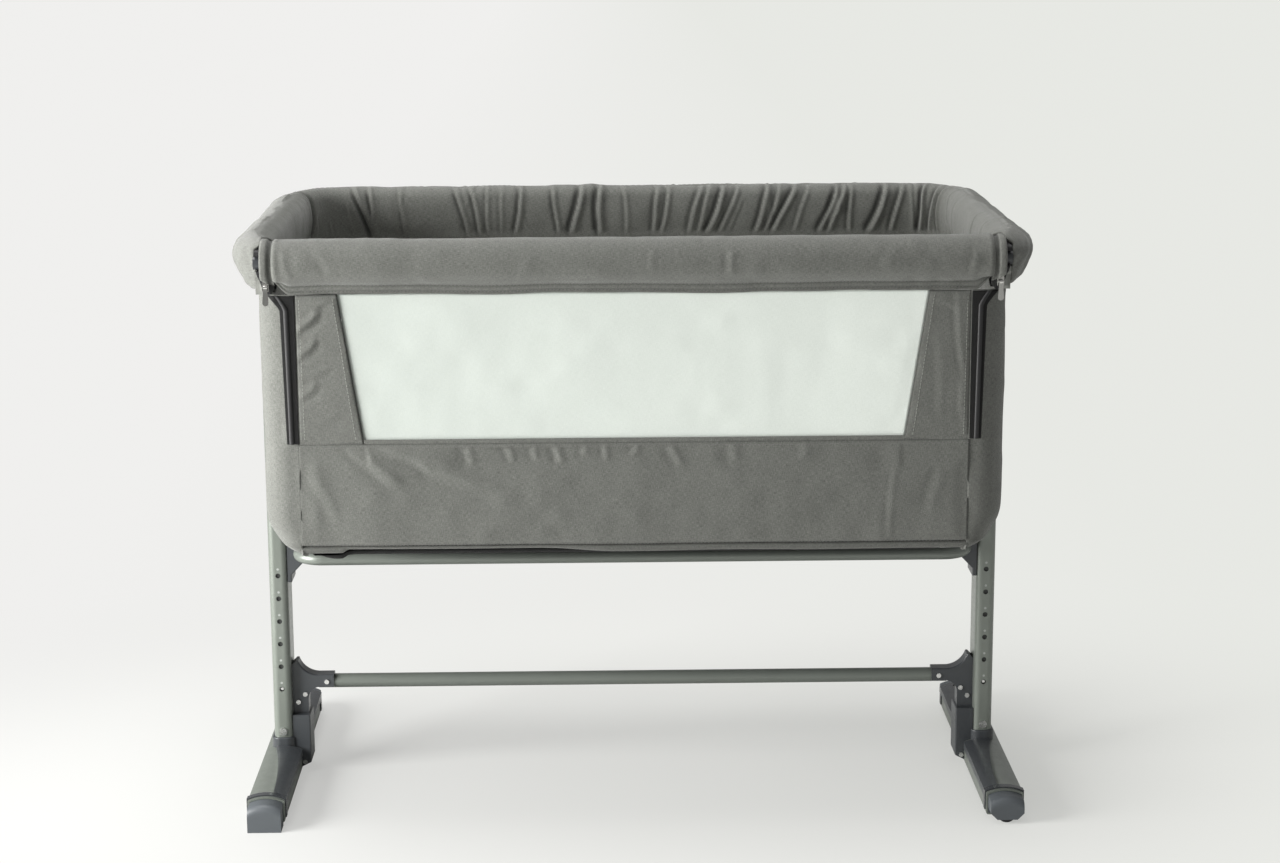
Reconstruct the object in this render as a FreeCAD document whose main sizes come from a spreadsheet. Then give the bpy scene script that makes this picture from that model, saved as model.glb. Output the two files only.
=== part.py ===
import FreeCAD, Part
import math
import os
import Sketcher

# Bedside sleeper crib. +X runs along the crib, -Y is the side that folds down,
# +Z is up, and the origin lies on the floor under the middle of the crib.

doc = FreeCAD.newDocument("SleeperCrib")

# ---- driving dimensions, in millimetres ---------------------------------------------

dimensions = [
    ("uprightSpacing", 900, "centre to centre of the two uprights"),
    ("uprightWidth", 24, "outer tube, along the crib"),
    ("uprightDepth", 50, "outer tube, front to back"),
    ("uprightWall", 1.5, "wall of the outer tube"),
    ("uprightCorner", 8, "corner radius of the outer tube"),
    ("uprightFoot", 38, "lower end of the outer tube"),
    ("uprightDrop", 80, "upper end of the outer tube below the rail axis"),
    ("slideGap", 0.4, "running gap between the two tubes"),
    ("innerWall", 1.5, "wall of the inner tube"),
    ("innerFoot", 96, "lower end of the inner tube"),
    ("holeDiameter", 6.4, "locking hole"),
    ("holePitch", 30, "step between two height settings"),
    ("lowestHole", 112.5, "height of the lowest locking hole"),
    ("holeCount", 6, "number of locking holes"),
    ("guideHeight", 14, "plastic guide on top of the outer tube"),
    ("guideWall", 2.2, "wall of the guide"),
    ("boltHeight", 56, "bolt through the foot of the upright"),
    ("boltShank", 6, "bolt shank diameter"),
    ("boltHead", 10, "bolt head diameter"),
    ("boltHeadHeight", 3, "bolt head height"),
    ("buttonDiameter", 5.6, "snap button"),
    ("buttonLength", 9, "snap button, along its travel"),
    ("springWidth", 8, "leaf spring behind the button"),
    ("springThickness", 0.8, "leaf spring strip"),
    ("footWidth", 45, "foot bar, across"),
    ("footSide", 27, "foot bar, height of its sides"),
    ("footCrown", 5, "rise of the curved top of the foot bar"),
    ("footLift", 4, "foot bar above the floor"),
    ("footLength", 430, "foot bar, front to back"),
    ("footWall", 1.8, "wall of the foot bar"),
    ("footEdge", 3, "rounding of the lower edges of the foot bar"),
    ("capLength", 25, "end cap or wheel housing, beyond the bar"),
    ("capRound", 9, "rounding of the cap's end"),
    ("capPlug", 12, "plug of the cap inside the bar"),
    ("capInset", 2.2, "cap or wheel housing inward of the bar's faces"),
    ("housingLift", 6, "wheel housing above the floor"),
    ("housingChamfer", 8, "cut lower corners of the wheel housing"),
    ("ringLength", 10, "ring near the end of the bar"),
    ("ringInset", 5, "bar beyond the ring"),
    ("ringProud", 1.6, "ring and cover above the bar"),
    ("ringLeg", 9, "lower end of the ring above the floor"),
    ("wheelDiameter", 23, "wheel"),
    ("wheelWidth", 13, "wheel"),
    ("wheelRim", 2, "rounding of the tread"),
    ("wheelGap", 0.7, "running gap round the wheel"),
    ("axleDiameter", 4, "wheel axle"),
    ("axleGap", 0.2, "running gap on the axle"),
    ("socketCollar", 12, "height of the collar above the bar"),
    ("socketWall", 3, "wall of the collar round the upright"),
    ("wedgeRoot", 34, "width of the cover on the bar at the collar"),
    ("wedgeTip", 16.5, "width of the cover where it meets the ring"),
    ("wedgeBend", 1000, "radius of the cover's curved edge"),
    ("boxReach", 12, "side box beyond the side of the bar"),
    ("boxTop", 76, "top of the side box"),
    ("boxFloor", 7, "bottom of the side box above the floor"),
    ("boxSlope", 6, "rise of the side box's underside away from the bar"),
    ("boxDepth", 42, "side box, front to back"),
    ("crossbarDiameter", 18, "lower crossbar"),
    ("crossbarHeight", 116, "axis of the lower crossbar"),
    ("crossbarWall", 1.2, "wall of the lower crossbar"),
    ("gussetDepth", 21, "gusset, front to back"),
    ("gussetReach", 53, "gusset from the upright to its mouth"),
    ("gussetTip", 145.5, "top of the gusset beside the upright"),
    ("gussetHeel", 5, "cut corner between the gusset's tip and the upright"),
    ("gussetTipWidth", 8, "gusset width at its tip"),
    ("gussetShelf", 33.5, "where the curved top meets the sleeve"),
    ("gussetSweep", 28, "radius of the curved top"),
    ("gussetNeck", 20, "gusset width where it meets the side box"),
    ("gussetFillet", 15.5, "radius between the sleeve's underside and the neck"),
    ("gussetSeat", 20, "crossbar inside the gusset"),
    ("sleeveWall", 1.5, "wall of the sleeve over the crossbar"),
    ("sleeveOpen", 5.4, "open underside of the sleeve below the crossbar's axis"),
    ("gussetEdge", 2, "rounding of the gusset"),
    ("screwDiameter", 6, "screw head"),
    ("screwHeight", 1.8, "screw head above the plastic"),
    ("sleeveScrew", 44, "sleeve screw from the upright"),
    ("sleeveScrewRise", 1.4, "sleeve screw above the crossbar's axis"),
    ("neckScrew", 16, "middle gusset screw from the upright"),
    ("neckScrewDrop", 9.5, "middle gusset screw below the sleeve"),
    ("lowScrew", 7, "lower gusset screw from the upright"),
    ("lowScrewDrop", 20, "lower gusset screw below the sleeve"),
    ("boxScrew", 6.5, "side box screw above the underside of the box"),
    ("loopDiameter", 15, "brace loop tube"),
    ("loopWall", 1.2, "wall of the brace loop tube"),
    ("loopHeight", 294, "axis of the brace loop"),
    ("loopReach", 64, "brace loop from the middle to its long bars"),
    ("loopInset", 17, "brace loop from the upright's inner face to its end"),
    ("loopBend", 32, "bend radius of the brace loop"),
    ("bracketDepth", 44, "loop bracket, front to back"),
    ("bracketTop", 312, "top of the loop bracket"),
    ("bracketFloor", 268, "bottom of the loop bracket's block"),
    ("bracketTail", 253, "lower end of the bracket's tail"),
    ("bracketTailWidth", 5, "thickness of the bracket's tail"),
    ("bracketEdge", 1.5, "rounding of the loop bracket"),
    ("railHeight", 696, "axis of the rail"),
    ("railTube", 20, "rail tube diameter"),
    ("railWall", 1.2, "rail tube wall"),
    ("railReach", 254, "rail axis from the middle, front and back"),
    ("railInset", 8, "rail axis inward of the upright's axis, at the ends"),
    ("railCorner", 72, "bend radius of the rail"),
    ("coverRadius", 27.5, "padded rail cover"),
    ("coverTail", 36, "lower edge of the rail cover below the axis"),
    ("coverTailWidth", 18, "width of the rail cover at its lower edge"),
    ("coverWaist", 20, "where the cover starts to narrow, below the axis"),
    ("cornerStart", 37, "angle where the end cover stops, degrees"),
    ("tubeShow", 3, "angle by which the rail tube passes the end cover, degrees"),
    ("mouthTurn", 48, "angle where the outer side of the end cover stops, degrees"),
    ("mouthGap", 1.3, "gap between the end cover's outer side and the plug"),
    ("frontRailInset", 29, "end of the front rail cover inward of the end rail"),
    ("rimReach", 13.5, "open rim of the front rail cover beyond its filling"),
    ("rimWall", 3, "open rim of the front rail cover"),
    ("rimDrop", 17, "lower end of the rim below the rail axis"),
    ("rimGap", 0.8, "gap between the rim and the clip under it"),
    ("plugLength", 23, "rail plug beyond the front rail cover"),
    ("plugDiameter", 15, "rail plug"),
    ("plugFlange", 10, "flange of the plug inside the end of the cover"),
    ("plugSeat", 16, "rail plug inside the rail tube"),
    ("clipAway", 4, "space between the front rail cover and the clip"),
    ("clipWidth", 17, "rail clip, along the rail"),
    ("clipHeight", 30, "rail clip"),
    ("clipProud", 9, "front of the rail clip beyond the rail axis"),
    ("clipDepth", 44, "rail clip, front to back"),
    ("clipGap", 1.4, "gap between the clip and the plug"),
    ("skirtProud", 4, "front of the clip's skirt beyond the rail axis"),
    ("clipEdge", 4, "rounding of the rail clip"),
    ("basketInset", 8, "ends of the basket fabric inward of the end rail"),
    ("basketProud", 8, "sides of the basket fabric beyond the rail axis"),
    ("basketCorner", 36, "corner of the basket in plan"),
    ("basketFloor", 352, "underside of the basket"),
    ("basketRound", 50, "lower corner of the basket seen from the front"),
    ("fabric", 3, "thickness of the padded fabric"),
    ("bandTop", 484, "seam where the front folds down"),
    ("seamGap", 0.3, "gap along a moving edge"),
    ("panelInset", 45, "ends of the front panel inward of the basket's ends"),
    ("windowTopInset", 48, "top corner of the window inward of the panel's end"),
    ("windowBottomInset", 75, "lower corner of the window inward of the panel's end"),
    ("meshThickness", 1.2, "mesh of the window"),
    ("tapeWidth", 14, "zip tape at its lower end"),
    ("tapeTopWidth", 40, "zip tape at its upper end"),
    ("tapeThickness", 1.5, "zip tape"),
    ("sliderInset", 20, "closed slider inward of the end rail"),
    ("sliderDrop", 26, "closed slider below the rail axis"),
    ("sliderWidth", 8, "zip slider"),
    ("sliderDepth", 5, "zip slider"),
    ("sliderHeight", 12, "zip slider"),
    ("sliderGap", 0.3, "gap between slider and tape"),
    ("pinDiameter", 2, "pin that carries the pull"),
    ("pinLength", 7, "pin that carries the pull"),
    ("earWidth", 1, "ear that holds the pin"),
    ("pullNeck", 2.1, "half width of the zip pull at its knuckle"),
    ("knuckleDiameter", 4.4, "knuckle of the zip pull"),
    ("pullSlack", 0.3, "running gap of the pull on its pin"),
    ("pullLength", 22, "zip pull"),
    ("pullWidth", 7, "zip pull"),
    ("pullThickness", 1.6, "zip pull"),
    ("pinReach", 3.4, "pin in front of the slider"),
    ("boardInset", 54, "base board inward of the basket's ends"),
    ("boardSideInset", 12, "base board inward of the basket's sides"),
    ("boardThickness", 8, "base board"),
    ("mattressInset", 25, "mattress inward of the basket's ends"),
    ("mattressSideInset", 12, "mattress inward of the basket's sides"),
    ("mattressSide", 24, "height of the mattress at its sides"),
    ("mattressCrown", 8, "rise of the mattress at the middle"),
    ("mattressCorner", 45, "corner of the mattress in plan"),
    ("mattressEdge", 9, "rounding of the mattress"),
    ("channelWidth", 6, "sewn channel across the mattress"),
    ("channelPitch", 138, "step between sewn channels"),
    ("layGap", 0.3, "gap between soft layers"),
]

sheet = doc.addObject("Spreadsheet::Sheet", "Dims")
for row, (alias, size, note) in enumerate(dimensions, start=1):
    sheet.set(f"A{row}", alias)
    sheet.set(f"B{row}", str(size))
    sheet.set(f"C{row}", note)
    sheet.setAlias(f"B{row}", alias)
doc.recompute()


class Size:
    # a length that knows both its value and its expression in the sheet
    def __init__(self, text, value):
        self.text = text
        self.value = float(value)

    def combine(self, other, sign, value):
        other = other if isinstance(other, Size) else Size(str(other), other)
        return Size(f"({self.text} {sign} {other.text})", value(self.value, other.value))

    def __add__(self, other):
        return self.combine(other, "+", lambda a, b: a + b)

    def __sub__(self, other):
        return self.combine(other, "-", lambda a, b: a - b)

    def __mul__(self, other):
        return self.combine(other, "*", lambda a, b: a * b)

    def __truediv__(self, other):
        return self.combine(other, "/", lambda a, b: a / b)

    def __neg__(self):
        return Size(f"(0 - {self.text})", -self.value)


class Sizes:
    pass


D = Sizes()
for alias, size, note in dimensions:
    setattr(D, alias, Size(f"Dims.{alias}", sheet.get(alias)))
zero = Size("0", 0)

nodes = []


def keep(thing, label):
    thing.Label = label
    nodes.append(thing)
    return thing


def bind(thing, name, size):
    thing.setExpression(name, size.text)


def place(thing, x=zero, y=zero, z=zero):
    bind(thing, "Placement.Base.x", x)
    bind(thing, "Placement.Base.y", y)
    bind(thing, "Placement.Base.z", z)
    return thing


# ---- sketches and bodies ------------------------------------------------------------

def newBody(label):
    return doc.addObject("PartDesign::Body", label)


def newSketch(body, name, role):
    sketch = body.newObject("Sketcher::SketchObject", name)
    plane = [p for p in body.Origin.OriginFeatures if p.Role == role][0]
    sketch.AttachmentSupport = [(plane, "")]
    sketch.MapMode = "FlatFace"
    return sketch


def fix(sketch, name, kind, places, size):
    index = sketch.addConstraint(Sketcher.Constraint(kind, *places, size.value))
    sketch.renameConstraint(index, name)
    sketch.setExpression(f"Constraints.{name}", size.text)


def drawOutline(sketch, name, corners, bends=None):
    # corners are joined in turn; bends[i] is the radius of the arc that leaves corner i,
    # positive where its centre lies to the left of the way along the outline
    bends = bends or {}
    ends = []
    points = [FreeCAD.Vector(x.value, y.value, 0) for x, y in corners]
    for i, start in enumerate(points):
        stop = points[(i + 1) % len(points)]
        if i not in bends:
            geometry = sketch.addGeometry(Part.LineSegment(start, stop), False)
            ends.append((geometry, 1, 2))
            continue
        radius, turn = bends[i]
        chord = stop - start
        left = FreeCAD.Vector(-chord.y, chord.x, 0).normalize()
        rise = math.sqrt(max(radius.value ** 2 - chord.Length ** 2 / 4, 0))
        centre = (start + stop) * 0.5 + left * rise * turn
        first, last = (start, stop) if turn > 0 else (stop, start)
        a = math.atan2(first.y - centre.y, first.x - centre.x)
        b = math.atan2(last.y - centre.y, last.x - centre.x)
        circle = Part.Circle(centre, FreeCAD.Vector(0, 0, 1), radius.value)
        geometry = sketch.addGeometry(Part.ArcOfCircle(circle, a, b), False)
        ends.append((geometry, 1, 2) if turn > 0 else (geometry, 2, 1))
    for i, (geometry, head, tail) in enumerate(ends):
        following, start, unused = ends[(i + 1) % len(ends)]
        sketch.addConstraint(Sketcher.Constraint("Coincident", geometry, tail, following, start))
    for i, (geometry, head, tail) in enumerate(ends):
        x, y = corners[i]
        fix(sketch, f"{name}X{i}", "DistanceX", (-1, 1, geometry, head), x)
        fix(sketch, f"{name}Y{i}", "DistanceY", (-1, 1, geometry, head), y)
        if i in bends:
            fix(sketch, f"{name}Bend{i}", "Radius", (geometry,), bends[i][0])


def drawRounded(sketch, name, halfX, halfY, radius, middleX=zero, middleY=zero):
    left, right = middleX - halfX, middleX + halfX
    low, high = middleY - halfY, middleY + halfY
    corners = [
        (right - radius, low), (right, low + radius),
        (right, high - radius), (right - radius, high),
        (left + radius, high), (left, high - radius),
        (left, low + radius), (left + radius, low),
    ]
    drawOutline(sketch, name, corners, {i: (radius, 1) for i in (0, 2, 4, 6)})


def drawCircle(sketch, name, x, y, radius):
    centre = FreeCAD.Vector(x.value, y.value, 0)
    circle = Part.Circle(centre, FreeCAD.Vector(0, 0, 1), radius.value)
    geometry = sketch.addGeometry(circle, False)
    fix(sketch, f"{name}X", "DistanceX", (-1, 1, geometry, 3), x)
    fix(sketch, f"{name}Y", "DistanceY", (-1, 1, geometry, 3), y)
    fix(sketch, f"{name}Radius", "Radius", (geometry,), radius)


def pad(body, sketch, length, middle=True):
    feature = body.newObject("PartDesign::Pad", sketch.Name + "Pad")
    feature.Profile = sketch
    feature.Midplane = middle
    feature.Length = length.value
    bind(feature, "Length", length)
    doc.recompute()
    return feature


def pocket(body, sketch, length):
    before = body.Shape.Volume
    feature = body.newObject("PartDesign::Pocket", sketch.Name + "Pocket")
    feature.Profile = sketch
    feature.Midplane = True
    feature.Length = length.value
    bind(feature, "Length", length)
    doc.recompute()
    if body.Shape.Volume > before - 0.01:
        raise ValueError(f"{body.Label}: {sketch.Name} cuts nothing")
    return feature


def roundEdges(body, base, size, chosen, kind="Fillet"):
    # rounds or bevels the edges whose middle point is chosen
    names = []
    for index, edge in enumerate(base.Shape.Edges, start=1):
        middle = edge.valueAt((edge.FirstParameter + edge.LastParameter) / 2)
        if chosen(middle, edge):
            names.append(f"Edge{index}")
    feature = body.newObject(f"PartDesign::{kind}", f"{body.Name}{kind}{len(body.Group)}")
    feature.Base = (base, names)
    name = "Radius" if kind == "Fillet" else "Size"
    setattr(feature, name, size.value)
    bind(feature, name, size)
    doc.recompute()
    return feature


# ---- primitives and booleans --------------------------------------------------------

def box(name, x, y, z):
    # x, y and z are pairs, from the lower to the upper side
    thing = doc.addObject("Part::Box", name)
    bind(thing, "Length", x[1] - x[0])
    bind(thing, "Width", y[1] - y[0])
    bind(thing, "Height", z[1] - z[0])
    return place(thing, x[0], y[0], z[0])


turns = {
    "x": FreeCAD.Rotation(FreeCAD.Vector(0, 1, 0), 90),
    "y": FreeCAD.Rotation(FreeCAD.Vector(1, 0, 0), -90),
    "z": FreeCAD.Rotation(),
}


def rod(name, axis, start, radius, length):
    thing = doc.addObject("Part::Cylinder", name)
    thing.Placement = FreeCAD.Placement(FreeCAD.Vector(), turns[axis])
    bind(thing, "Radius", radius)
    bind(thing, "Height", length)
    return place(thing, *start)


def cut(name, base, tool):
    thing = doc.addObject("Part::Cut", name)
    thing.Base = base
    thing.Tool = tool
    return thing


def fuse(name, parts):
    thing = doc.addObject("Part::MultiFuse", name)
    thing.Shapes = parts
    return thing


def common(name, first, second):
    thing = doc.addObject("Part::Common", name)
    thing.Base = first
    thing.Tool = second
    return thing


def group(name, parts):
    thing = doc.addObject("Part::Compound", name)
    thing.Links = parts
    return thing


def shaped(label, shape, cleaned=True):
    thing = doc.addObject("Part::Feature", label)
    thing.Shape = shape.removeSplitter() if cleaned else shape
    thing.Placement = FreeCAD.Placement()
    return keep(thing, label)


def spread(side, near, far):
    # a pair of x values on one side of the crib, lower value first
    if side > 0:
        return (near, far)
    return (-far, -near)


sides = {"left": -1, "right": 1}
ends = {"front": -1, "rear": 1}
half = D.uprightSpacing / 2
railEnd = half - D.railInset
uprightTop = D.railHeight - D.uprightDrop
frontRailHalf = railEnd - D.frontRailInset
plugReach = frontRailHalf + D.plugLength
clipFront = D.railReach + D.clipProud
clipBack = clipFront - D.clipDepth
clipSkirt = D.railReach + D.skirtProud
basketHalf = railEnd - D.basketInset
basketReach = D.railReach + D.basketProud
panelHalf = basketHalf - D.panelInset
windowTop = panelHalf - D.windowTopInset
windowBottom = panelHalf - D.windowBottomInset
sliderX = railEnd - D.sliderInset
sliderZ = D.railHeight - D.sliderDrop
innerFace = half - D.uprightWidth / 2
outerFace = half + D.uprightWidth / 2
frontFace = D.uprightDepth / 2

# ---- feet ---------------------------------------------------------------------------

barTop = D.footLift + D.footSide
barPeak = barTop + D.footCrown
barHalf = D.footWidth / 2


def crownRadius(halfWidth, rise):
    return (halfWidth * halfWidth + rise * rise) / (rise * 2)


def drawBar(sketch, name, proud, floor):
    # the section of the foot bar, made larger all round by proud
    wide = barHalf + proud
    high = barTop + proud
    corners = [(zero - wide, floor), (wide, floor), (wide, high), (zero - wide, high)]
    drawOutline(sketch, name, corners, {2: (crownRadius(wide, D.footCrown), 1)})


def barSolid(name, proud, floor, length):
    body = newBody(name)
    sketch = newSketch(body, name + "Section", "XZ_Plane")
    drawBar(sketch, name, proud, floor)
    pad(body, sketch, length)
    return body


def makeFoot(sideName, side):
    body = newBody("Foot" + sideName)
    outer = newSketch(body, "FootSection" + sideName, "XZ_Plane")
    drawBar(outer, "Bar", zero, D.footLift)
    whole = pad(body, outer, D.footLength)
    roundEdges(body, whole, D.footEdge, lambda p, e: p.z < 5 and abs(p.y) < 1)
    inner = newSketch(body, "FootBore" + sideName, "XZ_Plane")
    drawBar(inner, "Bore", zero - D.footWall, D.footLift + D.footWall)
    pocket(body, inner, D.footLength + 2)
    place(body, half * side)
    keep(body, "foot_tube_" + sideName)


barEnd = D.footLength / 2
capEnd = barEnd + D.capLength


def drawPlug(sketch, name):
    slack = D.footWall + D.layGap
    drawBar(sketch, name, zero - slack, D.footLift + slack)


def makeCap(sideName, side, endName, end):
    # a plain rounded cap on the left, a wheel housing on the right
    wheeled = side > 0
    floor = D.housingLift if wheeled else zero
    tag = sideName.title() + endName.title()
    body = newBody("Cap" + tag)
    section = newSketch(body, "CapSection" + tag, "XZ_Plane")
    drawBar(section, "Cap", zero - D.capInset, floor)
    whole = pad(body, section, D.capLength)
    outer = D.capLength.value / 2 * end
    rounded = roundEdges(
        body, whole, D.capRound,
        lambda p, e: abs(p.y - outer) < 0.1 and p.z > barTop.value - 1)
    if wheeled:
        rounded = roundEdges(
            body, rounded, D.housingChamfer,
            lambda p, e: p.z < floor.value + 0.1 and abs(p.x) > 20, "Chamfer")
    place(body, half * side, (barEnd + D.capLength / 2) * end)
    plug = newBody("Plug" + tag)
    inside = newSketch(plug, "PlugSection" + tag, "XZ_Plane")
    drawPlug(inside, "Plug")
    pad(plug, inside, D.capPlug)
    place(plug, half * side, (barEnd - D.capPlug / 2) * end)
    whole = fuse("CapWhole" + tag, [body, plug])
    name = f"foot_cap_{endName}_{sideName}"
    if wheeled:
        name = f"wheel_housing_{endName}_{sideName}"
        middle = (barEnd + D.capLength / 2) * end
        radius = D.wheelDiameter / 2
        reach = radius + D.wheelGap
        slotHalf = D.wheelWidth / 2 + D.wheelGap
        arch = rod("Arch" + tag, "y", (half, middle - slotHalf, radius), reach, slotHalf * 2)
        mouth = box("Mouth" + tag, (half - reach, half + reach),
                    (middle - slotHalf, middle + slotHalf), (zero, radius))
        bore = rod("AxleBore" + tag, "y", (half, middle - D.capLength / 2 + D.socketWall, radius),
                   D.axleDiameter / 2, D.capLength - D.socketWall * 2)
        whole = cut("Housing" + tag, whole, fuse("HousingTools" + tag, [arch, mouth, bore]))
    keep(whole, name)


def makeWheel(endName, end):
    radius = D.wheelDiameter / 2
    body = newBody("Wheel" + endName)
    sketch = newSketch(body, "WheelSide" + endName, "XZ_Plane")
    drawCircle(sketch, "Tread", zero, zero, radius)
    drawCircle(sketch, "Hub", zero, zero, D.axleDiameter / 2 + D.axleGap)
    whole = pad(body, sketch, D.wheelWidth)
    roundEdges(body, whole, D.wheelRim,
               lambda p, e: abs(math.hypot(p.x, p.z) - radius.value) < 0.1 and abs(p.y) > 5)
    place(body, half, (barEnd + D.capLength / 2) * end, radius)
    keep(body, f"wheel_{endName}_right")


def makeAxles():
    radius = D.wheelDiameter / 2
    pins = []
    for endName, end in ends.items():
        middle = (barEnd + D.capLength / 2) * end
        pins.append(rod("Axle" + endName, "y",
                        (half, middle - D.capLength / 2 + D.socketWall, radius),
                        D.axleDiameter / 2, D.capLength - D.socketWall * 2))
    keep(group("Axles", pins), "wheel_axles")


def makeRings():
    rings = []
    for sideName, side in sides.items():
        for endName, end in ends.items():
            tag = sideName.title() + endName.title()
            body = newBody("Ring" + tag)
            outer = newSketch(body, "RingSection" + tag, "XZ_Plane")
            drawBar(outer, "Ring", D.ringProud, D.ringLeg)
            whole = pad(body, outer, D.ringLength)
            inner = newSketch(body, "RingBore" + tag, "XZ_Plane")
            drawBar(inner, "Bore", zero, D.footLift)
            pocket(body, inner, D.ringLength + 2)
            place(body, half * side, (barEnd - D.ringInset - D.ringLength / 2) * end)
            rings.append(body)
    keep(group("Rings", rings), "foot_end_rings")


# ---- uprights and their sockets -----------------------------------------------------

def makeUpright(sideName, side):
    body = newBody("Upright" + sideName)
    section = newSketch(body, "UprightSection" + sideName, "XY_Plane")
    halfX, halfY = D.uprightWidth / 2, D.uprightDepth / 2
    drawRounded(section, "Outer", halfX, halfY, D.uprightCorner)
    drawRounded(section, "Inner", halfX - D.uprightWall, halfY - D.uprightWall,
                D.uprightCorner - D.uprightWall)
    pad(body, section, uprightTop - D.uprightFoot, False)
    place(body, half * side, zero, D.uprightFoot)
    drills = []
    for step in range(round(D.holeCount.value)):
        height = D.lowestHole + D.holePitch * step
        drills.append(rod(f"Drill{step}{sideName}", "y",
                          (half * side, zero - frontFace - 1, height),
                          D.holeDiameter / 2, D.uprightWall + 2))
    drills.append(rod("BoltDrill" + sideName, "y",
                      (half * side, zero - frontFace - 1, D.boltHeight),
                      D.boltShank / 2, D.uprightDepth + 2))
    drilled = cut("Drilled" + sideName, body, fuse("Drills" + sideName, drills))
    keep(drilled, "upright_" + sideName)


innerHalfX = D.uprightWidth / 2 - D.uprightWall - D.slideGap
innerHalfY = D.uprightDepth / 2 - D.uprightWall - D.slideGap
innerCorner = D.uprightCorner - D.uprightWall - D.slideGap


def makeInnerTube(sideName, side):
    body = newBody("InnerTube" + sideName)
    section = newSketch(body, "InnerSection" + sideName, "XY_Plane")
    drawRounded(section, "Outer", innerHalfX, innerHalfY, innerCorner)
    drawRounded(section, "Inner", innerHalfX - D.innerWall, innerHalfY - D.innerWall,
                innerCorner - D.innerWall)
    pad(body, section, D.railHeight - D.innerFoot, False)
    place(body, half * side, zero, D.innerFoot)
    saddle = rod("Saddle" + sideName, "y",
                 (railEnd * side, zero - D.uprightDepth, D.railHeight),
                 D.railTube / 2, D.uprightDepth * 2)
    hole = rod("ButtonHole" + sideName, "y",
               (half * side, zero - D.uprightDepth, D.lowestHole),
               D.holeDiameter / 2, D.uprightDepth)
    keep(cut("InnerCut" + sideName, body, fuse("InnerTools" + sideName, [saddle, hole])),
         "inner_tube_" + sideName)


def makeGuides():
    guides = []
    for sideName, side in sides.items():
        body = newBody("Guide" + sideName)
        section = newSketch(body, "GuideSection" + sideName, "XY_Plane")
        drawRounded(section, "Outer", D.uprightWidth / 2, D.uprightDepth / 2, D.uprightCorner)
        drawRounded(section, "Inner", innerHalfX + D.slideGap, innerHalfY + D.slideGap,
                    innerCorner + D.slideGap)
        whole = pad(body, section, D.guideHeight, False)
        roundEdges(body, whole, D.uprightWall / 2,
                   lambda p, e: abs(p.z - D.guideHeight.value) < 0.1 and
                   (abs(p.x) > innerHalfX.value + 1 or abs(p.y) > innerHalfY.value + 1))
        place(body, half * side, zero, uprightTop)
        guides.append(body)
    keep(group("Guides", guides), "upright_guides")


def makeBolts():
    bolts = []
    for sideName, side in sides.items():
        x = half * side
        head = rod("BoltHead" + sideName, "y",
                   (x, zero - frontFace - D.boltHeadHeight, D.boltHeight),
                   D.boltHead / 2, D.boltHeadHeight)
        shank = rod("BoltShank" + sideName, "y", (x, zero - frontFace, D.boltHeight),
                    D.boltShank / 2, D.uprightDepth)
        nut = doc.addObject("Part::Prism", "BoltNut" + sideName)
        nut.Polygon = 6
        bind(nut, "Circumradius", D.boltHead / 2)
        bind(nut, "Height", D.boltHeadHeight)
        nut.Placement = FreeCAD.Placement(FreeCAD.Vector(), turns["y"])
        place(nut, x, frontFace, D.boltHeight)
        bolts.append(fuse("Bolt" + sideName, [head, shank, nut]))
    keep(group("Bolts", bolts), "upright_bolts")


collarTop = barPeak + D.socketCollar
collarHalfX = D.uprightWidth / 2 + D.socketWall
collarHalfY = D.uprightDepth / 2 + D.socketWall
boxOuter = barHalf + D.boxReach


def drawWedge(sketch, name, side, end):
    # plan of the cover that runs from the collar along the inner half of the bar
    inner = zero - barHalf - D.ringProud
    root = inner + D.wedgeRoot
    tip = inner + D.wedgeTip
    near = collarHalfY - 1
    far = barEnd - D.ringInset - D.ringLength
    bend = D.wedgeBend
    turn = side * end
    corners = [(inner * -side, near * end), (root * -side, near * end),
               (tip * -side, far * end), (inner * -side, far * end)]
    drawOutline(sketch, name, corners, {1: (bend, turn)})


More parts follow.
